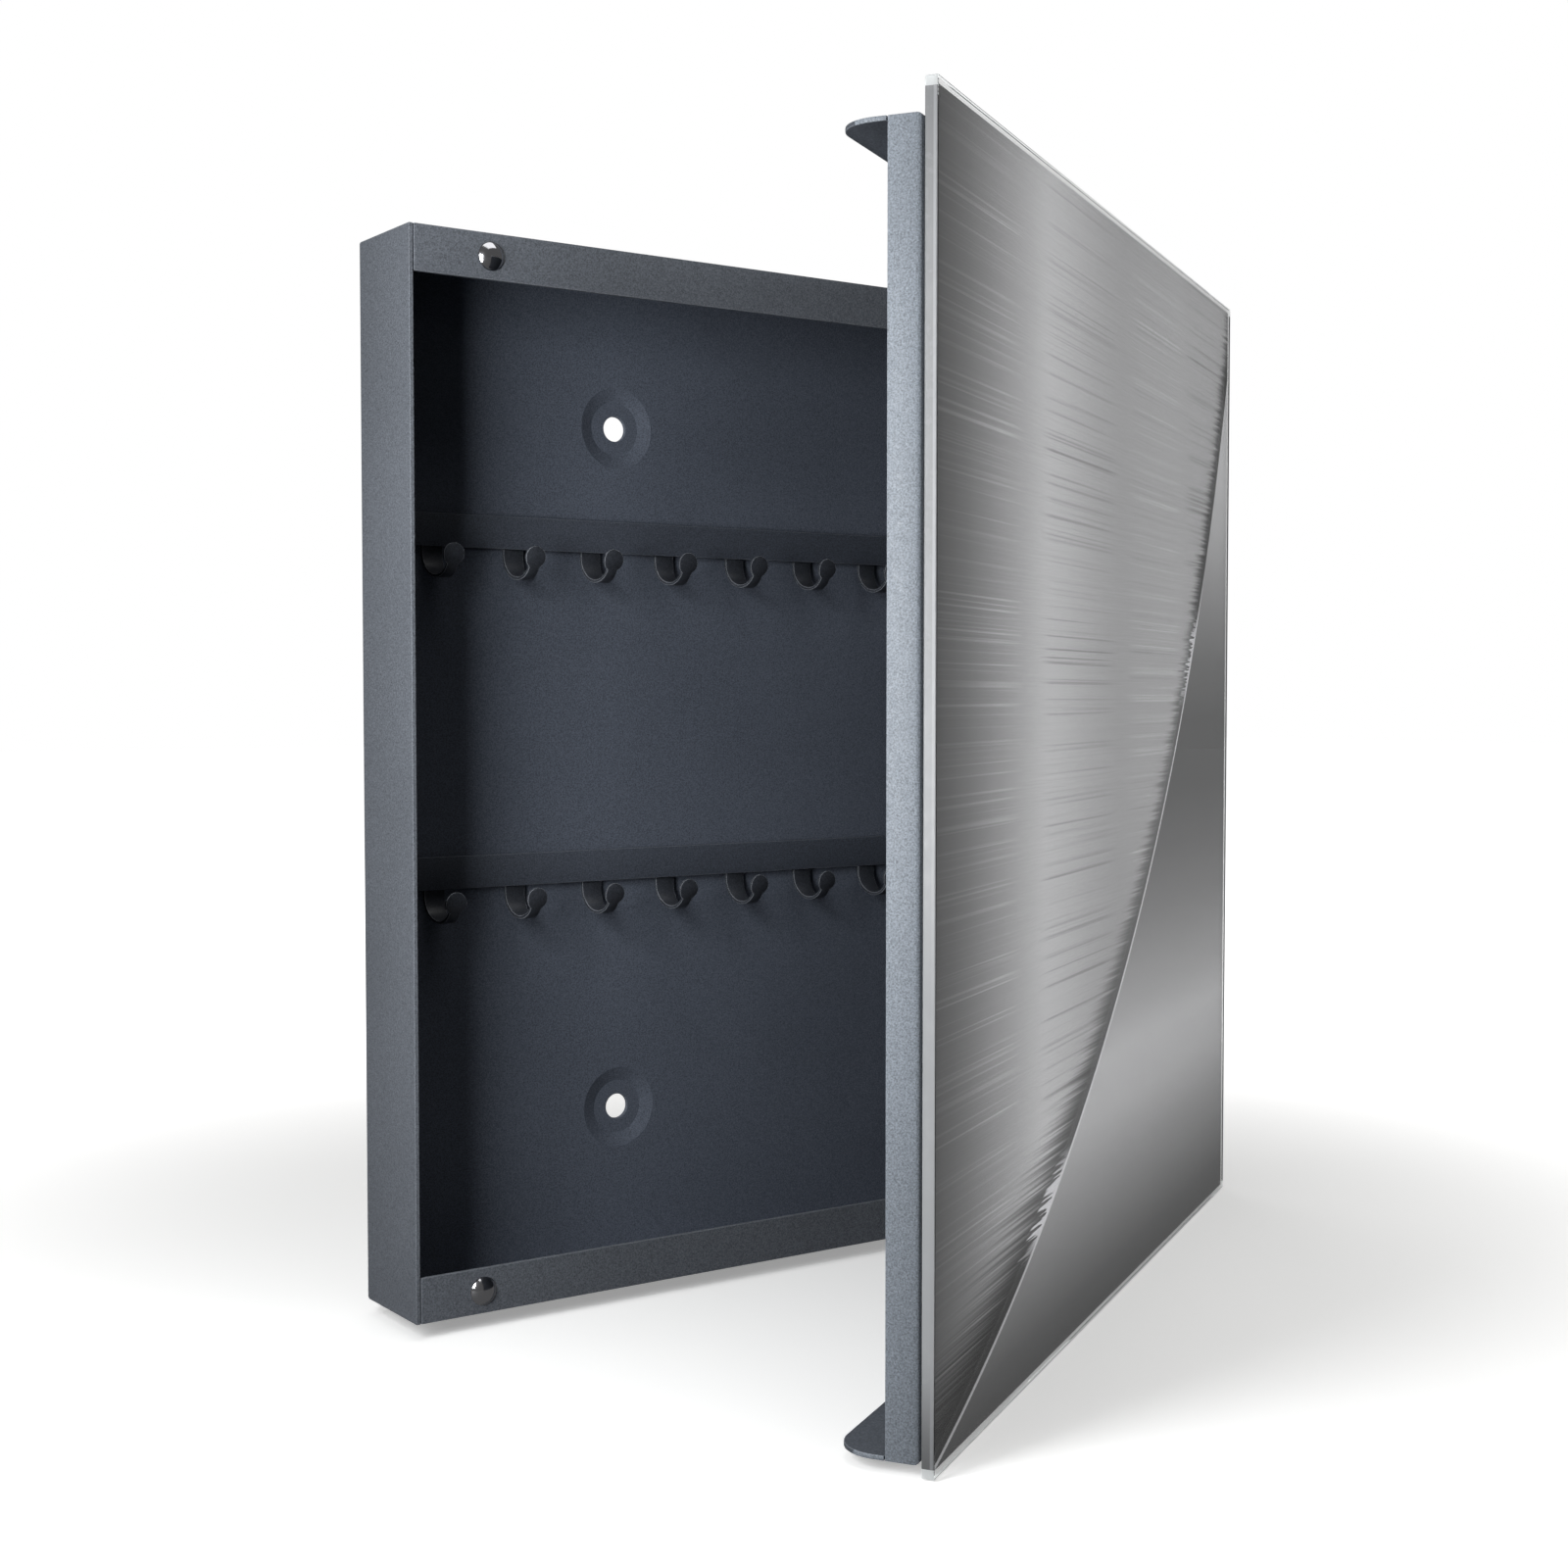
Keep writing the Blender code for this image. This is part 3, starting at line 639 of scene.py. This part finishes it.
class CABINET_OT_hooks(bpy.types.Operator):
    """Two rows of bent hooks, one behind each rail"""

    bl_idname = "cabinet.hooks"
    bl_label = "Hooks"

    def execute(self, context):
        sizes = context.scene.cabinet_hooks
        paint = powder_coat("powder_coat_hook", context.scene.cabinet_paint.hook, 0.42, 0.75)
        tree = hook_row_tree()
        _, first_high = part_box("hook_upper_01")
        hook = hook_mesh(sizes, first_high.y, paint)
        for level in LEVELS:
            names = [f"hook_{level}_{i + 1:02d}" for i in range(sizes.count)]
            low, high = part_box(names[0])
            base = high.z - sizes.overlap
            obj = link_object(f"hooks_{level}", bpy.data.meshes.new(f"hooks_{level}"))
            mod = obj.modifiers.new("hook row", "NODES")
            mod.node_group = tree
            set_modifier(mod, "Hook", hook)
            set_modifier(mod, "Count", sizes.count)
            set_modifier(mod, "Pitch", sizes.pitch)
            set_modifier(mod, "First", ((low.x + high.x) / 2, 0.0, base))
            set_modifier(mod, "Finish", paint)
            bake_modifiers(obj)
            if len(obj.data.polygons) < sizes.count * 50:
                raise RuntimeError("the row of hooks came out empty")
            place(obj, "cabinet", "powder_coat_hook", *names)
        bpy.data.objects.remove(hook)
        return {"FINISHED"}


class CABINET_OT_studs(bpy.types.Operator):
    """Polished domed studs on the lips, with their press-on retainers"""

    bl_idname = "cabinet.studs"
    bl_label = "Magnet studs"

    def execute(self, context):
        look = context.scene.cabinet_studs
        nickel = bare_metal("polished_nickel", look.tint, look.polish, 0.08, 300.0, 2400.0)
        spring = bare_metal("spring_steel_clip", SPRING_STEEL, 0.4, 0.4, 500.0, 3000.0)
        for end in ENDS:
            low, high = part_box(f"magnet_stud_{end}")
            radius = (high.x - low.x) / 2
            dome = STUD_SEAT_Y - low.y
            ball = (radius ** 2 + dome ** 2) / (2 * dome)
            widest = math.asin(radius / ball)
            length = high.y - low.y
            angles = [widest * k / STUD_STEPS for k in range(STUD_STEPS)]
            profile = [(ball * math.sin(a), ball - ball * math.cos(a)) for a in angles]
            profile += [(radius, dome - 0.18 * MM), (radius, dome - 0.02 * MM), (radius - 0.05 * MM, dome)]
            profile += [(STUD_SHANK, dome), (STUD_SHANK, length - 0.3 * MM)]
            profile += [(STUD_SHANK - 0.3 * MM, length)]
            obj = from_bmesh(f"stud_{end}", turned(profile, 72), [nickel])
            middle = (low + high) / 2
            lay_down = Matrix.Rotation(-math.pi / 2, 4, "X")
            obj.data.transform(Matrix.Translation((middle.x, low.y, middle.z)) @ lay_down)
            shade(obj, math.radians(30))
            place(obj, "cabinet", "polished_nickel", f"magnet_stud_{end}")
            clip = refined(f"stud_retainer_{end}", f"stud_clip_{end}", [spring], 0.1 * MM)
            place(clip, "cabinet", "spring_steel", f"stud_retainer_{end}")
        return {"FINISHED"}


class CABINET_OT_pivots(bpy.types.Operator):
    """Pivot pins of the door with their washers and retainers"""

    bl_idname = "cabinet.pivots"
    bl_label = "Pivots"

    def execute(self, context):
        zinc = bare_metal("zinc_plate", ZINC, 0.3, 0.35, 900.0, 2600.0)
        spring = bare_metal("spring_steel_ring", SPRING_STEEL, 0.4, 0.4, 500.0, 3000.0)
        nylon = plain_plastic("white_nylon", NYLON, 0.42, 0.04)
        kinds = (
            ("pivot_pin", "pin", zinc, "zinc_plated_steel"),
            ("pivot_washer", "washer", nylon, "white_nylon"),
            ("pin_retainer", "pin_clip", spring, "spring_steel"))
        for end in ENDS:
            for node, name, material, slot in kinds:
                obj = refined(f"{node}_{end}", f"{name}_{end}", [material], 0.08 * MM)
                place(obj, "cabinet", slot, f"{node}_{end}")
        return {"FINISHED"}


class CABINET_OT_tray(bpy.types.Operator):
    """Door tray: folded sheet behind the glass with a side flange painted lighter as light, and two ears"""

    bl_idname = "cabinet.tray"
    bl_label = "Door tray"

    def execute(self, context):
        look = context.scene.cabinet_paint
        # Painted light: the side flange gets a lighter copy of the tray's paint.
        flange = powder_coat("powder_coat_door", look.door_side_lit, 0.5, 0.2)
        back = powder_coat("powder_coat_tray", look.door_back, 0.5, 0.45)
        obj = refined("door_tray", "tray", [flange, back], look.edge_round)
        to_shut = OPENED.inverted()
        side = min((to_shut @ v.co).x for v in obj.data.vertices)
        for face in obj.data.polygons:
            across = (to_shut @ face.center).x
            if across - side > 1.3 * TRAY_SHEET:
                face.material_index = 1
        place(obj, "door", "powder_coat_door", "door_tray")
        return {"FINISHED"}


class CABINET_OT_tape(bpy.types.Operator):
    """Foam tape that bonds the glass to the tray"""

    bl_idname = "cabinet.tape"
    bl_label = "Bonding tape"

    def execute(self, context):
        foam = plain_plastic("bond_tape", FOAM, 0.75, 0.3)
        for side in ("left", "right", "top", "bottom"):
            obj = refined(f"bond_tape_{side}", f"tape_{side}", [foam], 0.06 * MM)
            place(obj, "door", "bond_tape", f"bond_tape_{side}")
        return {"FINISHED"}


def door_corners(node):
    """Lowest and highest corner of a door node with the door shut, about the pivot."""
    to_shut = OPENED.inverted()
    points = [to_shut @ v.co for v in frame["nodes"][node].data.vertices]
    low = Vector([min(p[i] for p in points) for i in range(3)])
    high = Vector([max(p[i] for p in points) for i in range(3)])
    return low, high


def block(low, high):
    bm = bmesh.new()
    bmesh.ops.create_cube(bm, size=1)
    bmesh.ops.scale(bm, vec=high - low, verts=bm.verts)
    bmesh.ops.translate(bm, vec=(high + low) / 2, verts=bm.verts)
    return bm


def map_points(mesh, name, spot):
    """Adds a UV map that holds spot(point) for each corner."""
    uv = mesh.uv_layers.new(name=name)
    for corner in mesh.loops:
        uv.data[corner.index].uv = spot(mesh.vertices[corner.vertex_index].co)


def glass_material():
    """Clear glass that lets light pass straight through to the print behind it."""
    look = bpy.context.scene.cabinet_glass
    material, made, shader, at = new_material("clear_glass")
    smear = made.noise(at, 22.0, 3.0)
    made.set_input(shader.inputs["Roughness"], made.remap(smear, 0.5, 0.8, 0.0, look.smear))
    tint = made.mix(made.remap(smear, 0.3, 0.7), (0.992, 0.995, 0.996, 1), (0.998, 1.0, 1.0, 1))
    made.set_input(shader.inputs["Base Color"], tint)
    shader.inputs["IOR"].default_value = 1.5
    shader.inputs["Transmission Weight"].default_value = 1.0
    in_shadow = made.node("ShaderNodeLightPath").outputs["Is Shadow Ray"]
    show_mix(material, made, in_shadow, shader, made.node("ShaderNodeBsdfTransparent"))
    return material


def glass_edge_material(half_print):
    """Ground edge with painted light and shade: grey beside the print and darkest at the foot, near white
    past the print.

    Its map holds metres through the pane from the front, and up from its middle.
    """
    look = bpy.context.scene.cabinet_glass
    material, made, shader, _ = new_material("glass_edge")
    spot = made.node("ShaderNodeUVMap", uv_map="pane").outputs["UV"]
    parts = made.node("ShaderNodeSeparateXYZ", {"Vector": spot})
    through = parts.outputs["X"]
    up = parts.outputs["Y"]
    # Painted light and shade: the edge's tone follows its height, and the foot multiplies it darker at the
    # very bottom.
    height = made.remap(up, -0.11, 0.09)
    foot = made.remap(up, -0.15, -0.12, 0.35, 1.0)
    streaks = made.group(
        shared("streaks"), {"Vector": spot, "Along": 300.0, "Across": 260.0, "Sparse": 0.52}).outputs
    tone = made.mix(height, (*look.edge_shading_foot, 1), (*look.edge_shading_head, 1))
    tone = made.mix(1.0, tone, foot, "MULTIPLY")
    # Painted light: a lighter band along the front of the edge.
    front = made.remap(through, 0.9 * MM, 1.1 * MM, 1.0, 0.0, "LINEAR")
    rim = made.remap(through, 0.25 * MM, 0.35 * MM, 0.35, 1.0, "LINEAR")
    band = made.math("MULTIPLY", made.math("MULTIPLY", front, rim), 0.5)
    tone = made.mix(band, tone, (0.34, 0.345, 0.355, 1))
    tone = made.mix(made.math("MULTIPLY", streaks["Lines"], 0.15), tone, (0.4, 0.405, 0.41, 1))
    clear = made.math("GREATER_THAN", made.math("ABSOLUTE", up), half_print - 1.0 * MM)
    made.set_input(shader.inputs["Base Color"], made.mix(clear, tone, (0.9, 0.92, 0.92, 1)))
    made.set_input(shader.inputs["Roughness"], made.remap(streaks["Tone"], 0.3, 0.7, 0.28, 0.42))
    bump = made.node("ShaderNodeBump", {"Height": streaks["Tone"], "Distance": 0.01 * MM, "Strength": 0.3})
    made.set_input(shader.inputs["Normal"], bump.outputs[0])
    let_through = made.node("ShaderNodeBsdfTranslucent", {"Color": (0.92, 0.94, 0.94, 1)})
    show_mix(material, made, made.math("MULTIPLY", clear, 0.7), shader, let_through)
    return material


class CABINET_OT_glass(bpy.types.Operator):
    """Glass front: one clear pane with ground edges"""

    bl_idname = "cabinet.glass"
    bl_label = "Glass front"

    def execute(self, context):
        look = context.scene.cabinet_glass
        low, high = door_corners("glass_panel")
        print_low, print_high = door_corners("print_layer")
        middle = (low.z + high.z) / 2
        edge = glass_edge_material((print_high.z - print_low.z) / 2)
        obj = from_bmesh("glass_front", block(low, high), [glass_material(), edge])
        round_edges(obj, look.arris, 2, math.radians(60))
        for face in obj.data.polygons:
            face.material_index = 0 if abs(face.normal.y) > 0.9 else 1
        map_points(obj.data, "pane", lambda point: (point.y - low.y, point.z - middle))
        obj.data.transform(OPENED)
        place(obj, "door", "clear_glass", "glass_panel")
        return {"FINISHED"}


def glint(made, up, low, high, soft):
    """1 between two heights, falling off softly at both ends."""
    rise = made.remap(up, low - soft, low + soft)
    fall = made.remap(up, high - soft, high + soft, 1.0, 0.0)
    return made.math("MULTIPLY", rise, fall)


# The picture. Positions run from 0 to 1, from the free edge or from the foot of the glass.

PANE = 0.3
BRUSHED_TONES = (
    (0.0, 0.08), (0.04, 0.145), (0.08, 0.22), (0.115, 0.31), (0.155, 0.41), (0.195, 0.52), (0.24, 0.65),
    (0.28, 0.765), (0.3, 0.765), (0.33, 0.735), (0.38, 0.67), (0.43, 0.605), (0.48, 0.56), (0.525, 0.53),
    (0.66, 0.58), (0.76, 0.605), (1.0, 0.6))
POLISHED_TONES = (
    (0.0, 0.04), (0.035, 0.1), (0.08, 0.25), (0.13, 0.44), (0.18, 0.67), (0.23, 0.75), (0.27, 0.57),
    (0.35, 0.33), (0.41, 0.215), (0.47, 0.145), (0.54, 0.145), (0.6, 0.215), (0.66, 0.36), (0.73, 0.58),
    (0.8, 0.78), (1.0, 0.9))
SHADE_TONES = (
    (0.0, 0.0), (0.07, 0.0), (0.14, 0.12), (0.3, 0.25), (0.5, 0.3), (0.62, 0.12), (0.7, 0.0), (1.0, 0.0))
LINE_SHARES = ((0.0, 0.45), (0.1, 0.6), (0.14, 1.0), (0.64, 1.0), (0.7, 0.15), (1.0, 0.0))
# Seed, marks per metre, sparseness, change of tone, and where across the glass.
STREAK_SETS = (
    (11.3, 900.0, 0.52, 0.55, ((0.0, 0.9), (0.16, 1.0), (0.22, 0.0))),
    (23.9, 850.0, 0.52, -0.42, ((0.265, 0.0), (0.3, 1.0), (0.47, 0.8), (0.52, 0.0))),
    (37.1, 1000.0, 0.53, 0.35, ((0.55, 0.0), (0.59, 0.9), (0.74, 1.0), (0.78, 0.0))),
    (41.7, 1100.0, 0.55, -0.22, ((0.55, 0.0), (0.59, 1.0), (0.74, 0.6), (0.79, 0.2))),
    (53.3, 900.0, 0.53, -0.4, ((0.78, 0.0), (0.83, 1.0), (1.0, 1.0))))
# Lowest and highest point of the two glints beside the arc, and how softly they end, in metres.
GLINTS = ((0.020, 0.042, 0.006), (-0.117, -0.101, 0.004))
GLINT_WIDTH = 5.0 * MM


def lines(made, spot, seed, rate, sparse):
    """Outputs of one set of marks that run across the glass: thin lines, and their soft tone."""
    inputs = {"Vector": spot, "Along": 2.2, "Across": rate, "Seed": seed, "Sparse": sparse}
    return made.group(shared("streaks"), inputs).outputs


def brushed_tone(made, across, up, spot):
    """(tone of the brushed part, its fine marks)"""
    share = made.math("DIVIDE", across, PANE)
    base = made.ramp(share, BRUSHED_TONES)
    height = made.node("ShaderNodeCombineXYZ", {"X": up}).outputs[0]
    bands = made.remap(made.noise(height, 46.0, 2.0), 0.38, 0.6, 0.3, 1.0)
    fine = lines(made, spot, 3.1, 2600.0, 0.5)["Tone"]
    tone = made.math("MULTIPLY", base, made.remap(fine, 0.3, 0.7, 0.95, 1.05, "LINEAR"))
    for seed, rate, sparse, change, columns in STREAK_SETS:
        marks = made.math("MULTIPLY", lines(made, spot, seed, rate, sparse)["Lines"], bands)
        strength = made.math("MULTIPLY", marks, made.ramp(share, columns))
        tone = made.math("MULTIPLY", tone, made.math("MULTIPLY_ADD", strength, change, 1.0))
    return tone, fine


def print_material():
    """Picture of brushed steel with a polished crescent. Its map holds metres from the free edge and up."""
    look = bpy.context.scene.cabinet_print
    material, made, shader, _ = new_material("metal_print")
    spot = made.node("ShaderNodeUVMap", uv_map="picture").outputs["UV"]
    parts = made.node("ShaderNodeSeparateXYZ", {"Vector": spot})
    up = parts.outputs["Y"]
    high = made.math("DIVIDE", made.math("ADD", up, PANE / 2), PANE)

    centre = made.node("ShaderNodeVectorMath", {0: spot}, operation="SUBTRACT")
    centre.inputs[1].default_value = (-look.arc_across, look.arc_up, 0)
    reach = made.node("ShaderNodeVectorMath", {0: centre.outputs[0]}, operation="LENGTH")
    inside = made.math("SUBTRACT", look.arc_radius, reach.outputs["Value"])

    brushed, fine = brushed_tone(made, parts.outputs["X"], up, spot)
    ragged = lines(made, spot, 5.7, 1300.0, 0.5)["Tone"]
    least = made.ramp(high, SHADE_TONES)
    teeth = made.remap(ragged, 0.35, 0.65, 0.55, 1.3, "LINEAR")
    spread = made.math("MULTIPLY", teeth, made.remap(high, 0.0, 0.4, 2.2 * look.shade, look.shade))
    nearness = made.remap(made.math("DIVIDE", inside, spread), 0.15, 1.0)
    kept = made.math("MULTIPLY_ADD", nearness, made.math("SUBTRACT", 1.0, least), least)
    dimmed = made.math("MULTIPLY", brushed, kept)

    glints = made.math("MAXIMUM", glint(made, up, *GLINTS[0]), glint(made, up, *GLINTS[1]))
    width = made.math("MULTIPLY", made.remap(ragged, 0.38, 0.62, 0.2, 1.3), GLINT_WIDTH)
    close = made.remap(made.math("DIVIDE", inside, width), 0.8, 1.05, 1.0, 0.0)
    toned = made.mix(made.math("MULTIPLY", glints, close), dimmed, (0.95, 0.95, 0.97, 1))

    outer = made.remap(inside, -0.12 * MM, 0.12 * MM, 1.0, 0.0, "LINEAR")
    picture = made.mix(outer, toned, made.ramp(high, POLISHED_TONES))
    from_line = made.math("ABSOLUTE", inside)
    on_line = made.remap(from_line, look.line * 0.4, look.line * 0.6, 1.0, 0.0, "LINEAR")
    drawn_line = made.math("MULTIPLY", on_line, made.ramp(high, LINE_SHARES))
    drawn = made.mix(drawn_line, picture, (0.97, 0.97, 0.98, 1))
    cool = made.mix(1.0, drawn, (0.985, 0.985, 1.0, 1), "MULTIPLY")
    made.set_input(shader.inputs["Base Color"], cool)
    made.set_input(shader.inputs["Roughness"], made.remap(fine, 0.3, 0.7, 0.45, 0.6))
    shader.inputs["Specular IOR Level"].default_value = 0.0
    return material


class CABINET_OT_print(bpy.types.Operator):
    """Printed picture on the back of the glass"""

    bl_idname = "cabinet.print"
    bl_label = "Print"

    def execute(self, context):
        low, high = door_corners("print_layer")
        glass_low, glass_high = door_corners("glass_panel")
        backing = plain_plastic("print_backing", BACKING, 0.55, 0.1)
        obj = from_bmesh("print_picture", block(low, high), [print_material(), backing])
        middle = (glass_low.z + glass_high.z) / 2
        for face in obj.data.polygons:
            face.material_index = 0 if face.normal.y < -0.9 else 1
        map_points(obj.data, "picture", lambda point: (point.x - glass_low.x, point.z - middle))
        obj.data.transform(OPENED)
        place(obj, "door", "metal_print", "print_layer")
        return {"FINISHED"}


# Stage

# Name, place, aim, size, property that holds its power, colour, and whether gloss and glass show it.
LIGHTS = (
    ("key_light", (-0.37, -0.19, 0.07), (-0.12, -0.05, 0.02), (0.12, 0.26), "key_power", (0.97, 0.985, 1.0),
     True),
    ("front_light", (0.85, -1.25, 0.11), (0.05, -0.1, 0.0), (1.1, 0.48), "front_power", WHITE, False),
    ("back_light", (0.3, 1.4, 0.5), (0.0, 0.0, 0.0), (1.2, 0.8), "back_power", WHITE, False),
    ("top_light", (0.1, -0.25, 1.5), (0.0, -0.05, 0.0), (1.4, 1.4), "top_power", WHITE, True),
)
CAMERA_AT = (-0.3838, -0.5430, 0.0219)
CAMERA_TILT = math.radians(87.616)
CAMERA_HEADING = math.radians(-34.95)
CAMERA_LENS = 49.0
FLOOR_GAP = 0.4 * MM
FLOOR_HALF = 6.0


def area_light(name, at, aim, size, power, color, mirrored):
    lamp = bpy.data.lights.new(name, "AREA")
    lamp.shape = "RECTANGLE"
    lamp.size, lamp.size_y = size
    lamp.energy = power
    lamp.color = color
    obj = link_object(name, lamp)
    obj.location = at
    obj.rotation_euler = (Vector(aim) - Vector(at)).to_track_quat("-Z", "Y").to_euler()
    obj.visible_camera = False
    obj.visible_glossy = mirrored
    obj.visible_transmission = mirrored


def straight_view(made, rays):
    """1 for rays that come from the camera, through clear glass or not, without a bounce."""
    bounces = made.math("ADD", rays["Glossy Depth"], rays["Diffuse Depth"])
    through = made.math("MULTIPLY", rays["Is Transmission Ray"], made.math("LESS_THAN", bounces, 0.5))
    return made.math("MAXIMUM", rays["Is Camera Ray"], through)


def floor_material(look):
    """Pale matt floor that glows for the camera as painted light, less near the object and as bright as the
    backdrop at a distance; it is dark to bounced rays.
    """
    material, made, shader, at = new_material("pale_floor")
    mottle = made.noise(at, 900.0, 3.0)
    warm = (look.floor[0] * 0.97, look.floor[1] * 0.97, look.floor[2] * 0.96, 1)
    rays = made.node("ShaderNodeLightPath").outputs
    seen = straight_view(made, rays)
    paint = made.mix(mottle, warm, (*look.floor, 1))
    bounced = made.mix(rays["Is Glossy Ray"], (0.1, 0.1, 0.105, 1), (0, 0, 0, 1))
    made.set_input(shader.inputs["Base Color"], made.mix(seen, bounced, paint))
    made.set_input(shader.inputs["Roughness"], made.remap(mottle, 0.3, 0.7, 0.6, 0.75))
    shader.inputs["Specular IOR Level"].default_value = 0.1
    distance = made.node("ShaderNodeVectorMath", {"Vector": at}, operation="LENGTH").outputs["Value"]
    glow = made.remap(distance, 0.15, 0.5, look.floor_glow, 1.0)
    shader.inputs["Emission Color"].default_value = (*WHITE, 1)
    direct = made.math("MULTIPLY", glow, seen)
    glossy = made.math("MULTIPLY", rays["Is Glossy Ray"], look.mirrored)
    made.set_input(shader.inputs["Emission Strength"], made.math("ADD", direct, glossy))
    return material


def studio_world(look):
    """White to the camera, darker in reflections, and dim as light on the object."""
    world = bpy.data.worlds.new("studio")
    world.use_nodes = True
    sky = Tree(world.node_tree)
    backdrop = world.node_tree.nodes["Background"]
    backdrop.inputs["Color"].default_value = (*WHITE, 1)
    rays = sky.node("ShaderNodeLightPath").outputs
    mirrored = sky.math("MULTIPLY", rays["Is Glossy Ray"], look.mirrored)
    seen = straight_view(sky, rays)
    lit = sky.math("MAXIMUM", sky.math("MAXIMUM", mirrored, seen), look.room)
    sky.set_input(backdrop.inputs["Strength"], lit)
    return world


class CABINET_OT_stage(bpy.types.Operator):
    """Pale floor, soft studio light and the camera"""

    bl_idname = "cabinet.stage"
    bl_label = "Stage"

    def execute(self, context):
        look = context.scene.cabinet_stage
        scene = context.scene
        low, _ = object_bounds()
        bm = bmesh.new()
        bmesh.ops.create_grid(bm, x_segments=8, y_segments=8, size=FLOOR_HALF)
        floor = from_bmesh("floor", bm, [floor_material(look)])
        floor.location.z = low.z - FLOOR_GAP
        floor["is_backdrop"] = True
        for name, at, aim, size, power, color, mirrored in LIGHTS:
            area_light(name, at, aim, size, getattr(look, power), color, mirrored)
        scene.world = studio_world(look)

        lens = bpy.data.cameras.new("camera")
        lens.sensor_width = 36.0
        lens.lens = CAMERA_LENS
        lens.clip_start = 0.01
        camera = link_object("camera", lens)
        camera.location = CAMERA_AT
        camera.rotation_euler = (CAMERA_TILT, 0.0, CAMERA_HEADING)
        scene.camera = camera
        scene.view_settings.view_transform = "Standard"
        scene.view_settings.look = "None"
        return {"FINISHED"}


PROPERTY_GROUPS = {
    "cabinet_paint": CabinetPaint,
    "cabinet_hooks": HookSizes,
    "cabinet_studs": StudLook,
    "cabinet_print": PrintLook,
    "cabinet_glass": GlassLook,
    "cabinet_stage": StageLook,
}

OPERATORS = (
    CABINET_OT_shell, CABINET_OT_rails, CABINET_OT_hooks, CABINET_OT_studs, CABINET_OT_pivots,
    CABINET_OT_tray, CABINET_OT_tape, CABINET_OT_print, CABINET_OT_glass, CABINET_OT_stage,
)


class CABINET_PT_sidebar(bpy.types.Panel):
    """Sizes, colours and the operators that build each piece"""

    bl_idname = "CABINET_PT_sidebar"
    bl_label = "Key cabinet"
    bl_space_type = "VIEW_3D"
    bl_region_type = "UI"
    bl_category = "Key cabinet"

    def draw(self, context):
        layout = self.layout
        for operator in OPERATORS:
            layout.operator(operator.bl_idname)
        for name in PROPERTY_GROUPS:
            group = getattr(context.scene, name)
            column = layout.box().column()
            for key in group.__annotations__:
                column.prop(group, key)


def register():
    for group in PROPERTY_GROUPS.values():
        bpy.utils.register_class(group)
    for name, group in PROPERTY_GROUPS.items():
        setattr(bpy.types.Scene, name, bpy.props.PointerProperty(type=group))
    for operator in OPERATORS:
        bpy.utils.register_class(operator)
    bpy.utils.register_class(CABINET_PT_sidebar)


def unregister():
    bpy.utils.unregister_class(CABINET_PT_sidebar)
    for operator in reversed(OPERATORS):
        bpy.utils.unregister_class(operator)
    for name, group in PROPERTY_GROUPS.items():
        delattr(bpy.types.Scene, name)
        bpy.utils.unregister_class(group)


def main():
    register()
    for operator in OPERATORS:
        area, name = operator.bl_idname.split(".")
        getattr(getattr(bpy.ops, area), name)()


if __name__ == "__main__":
    main()
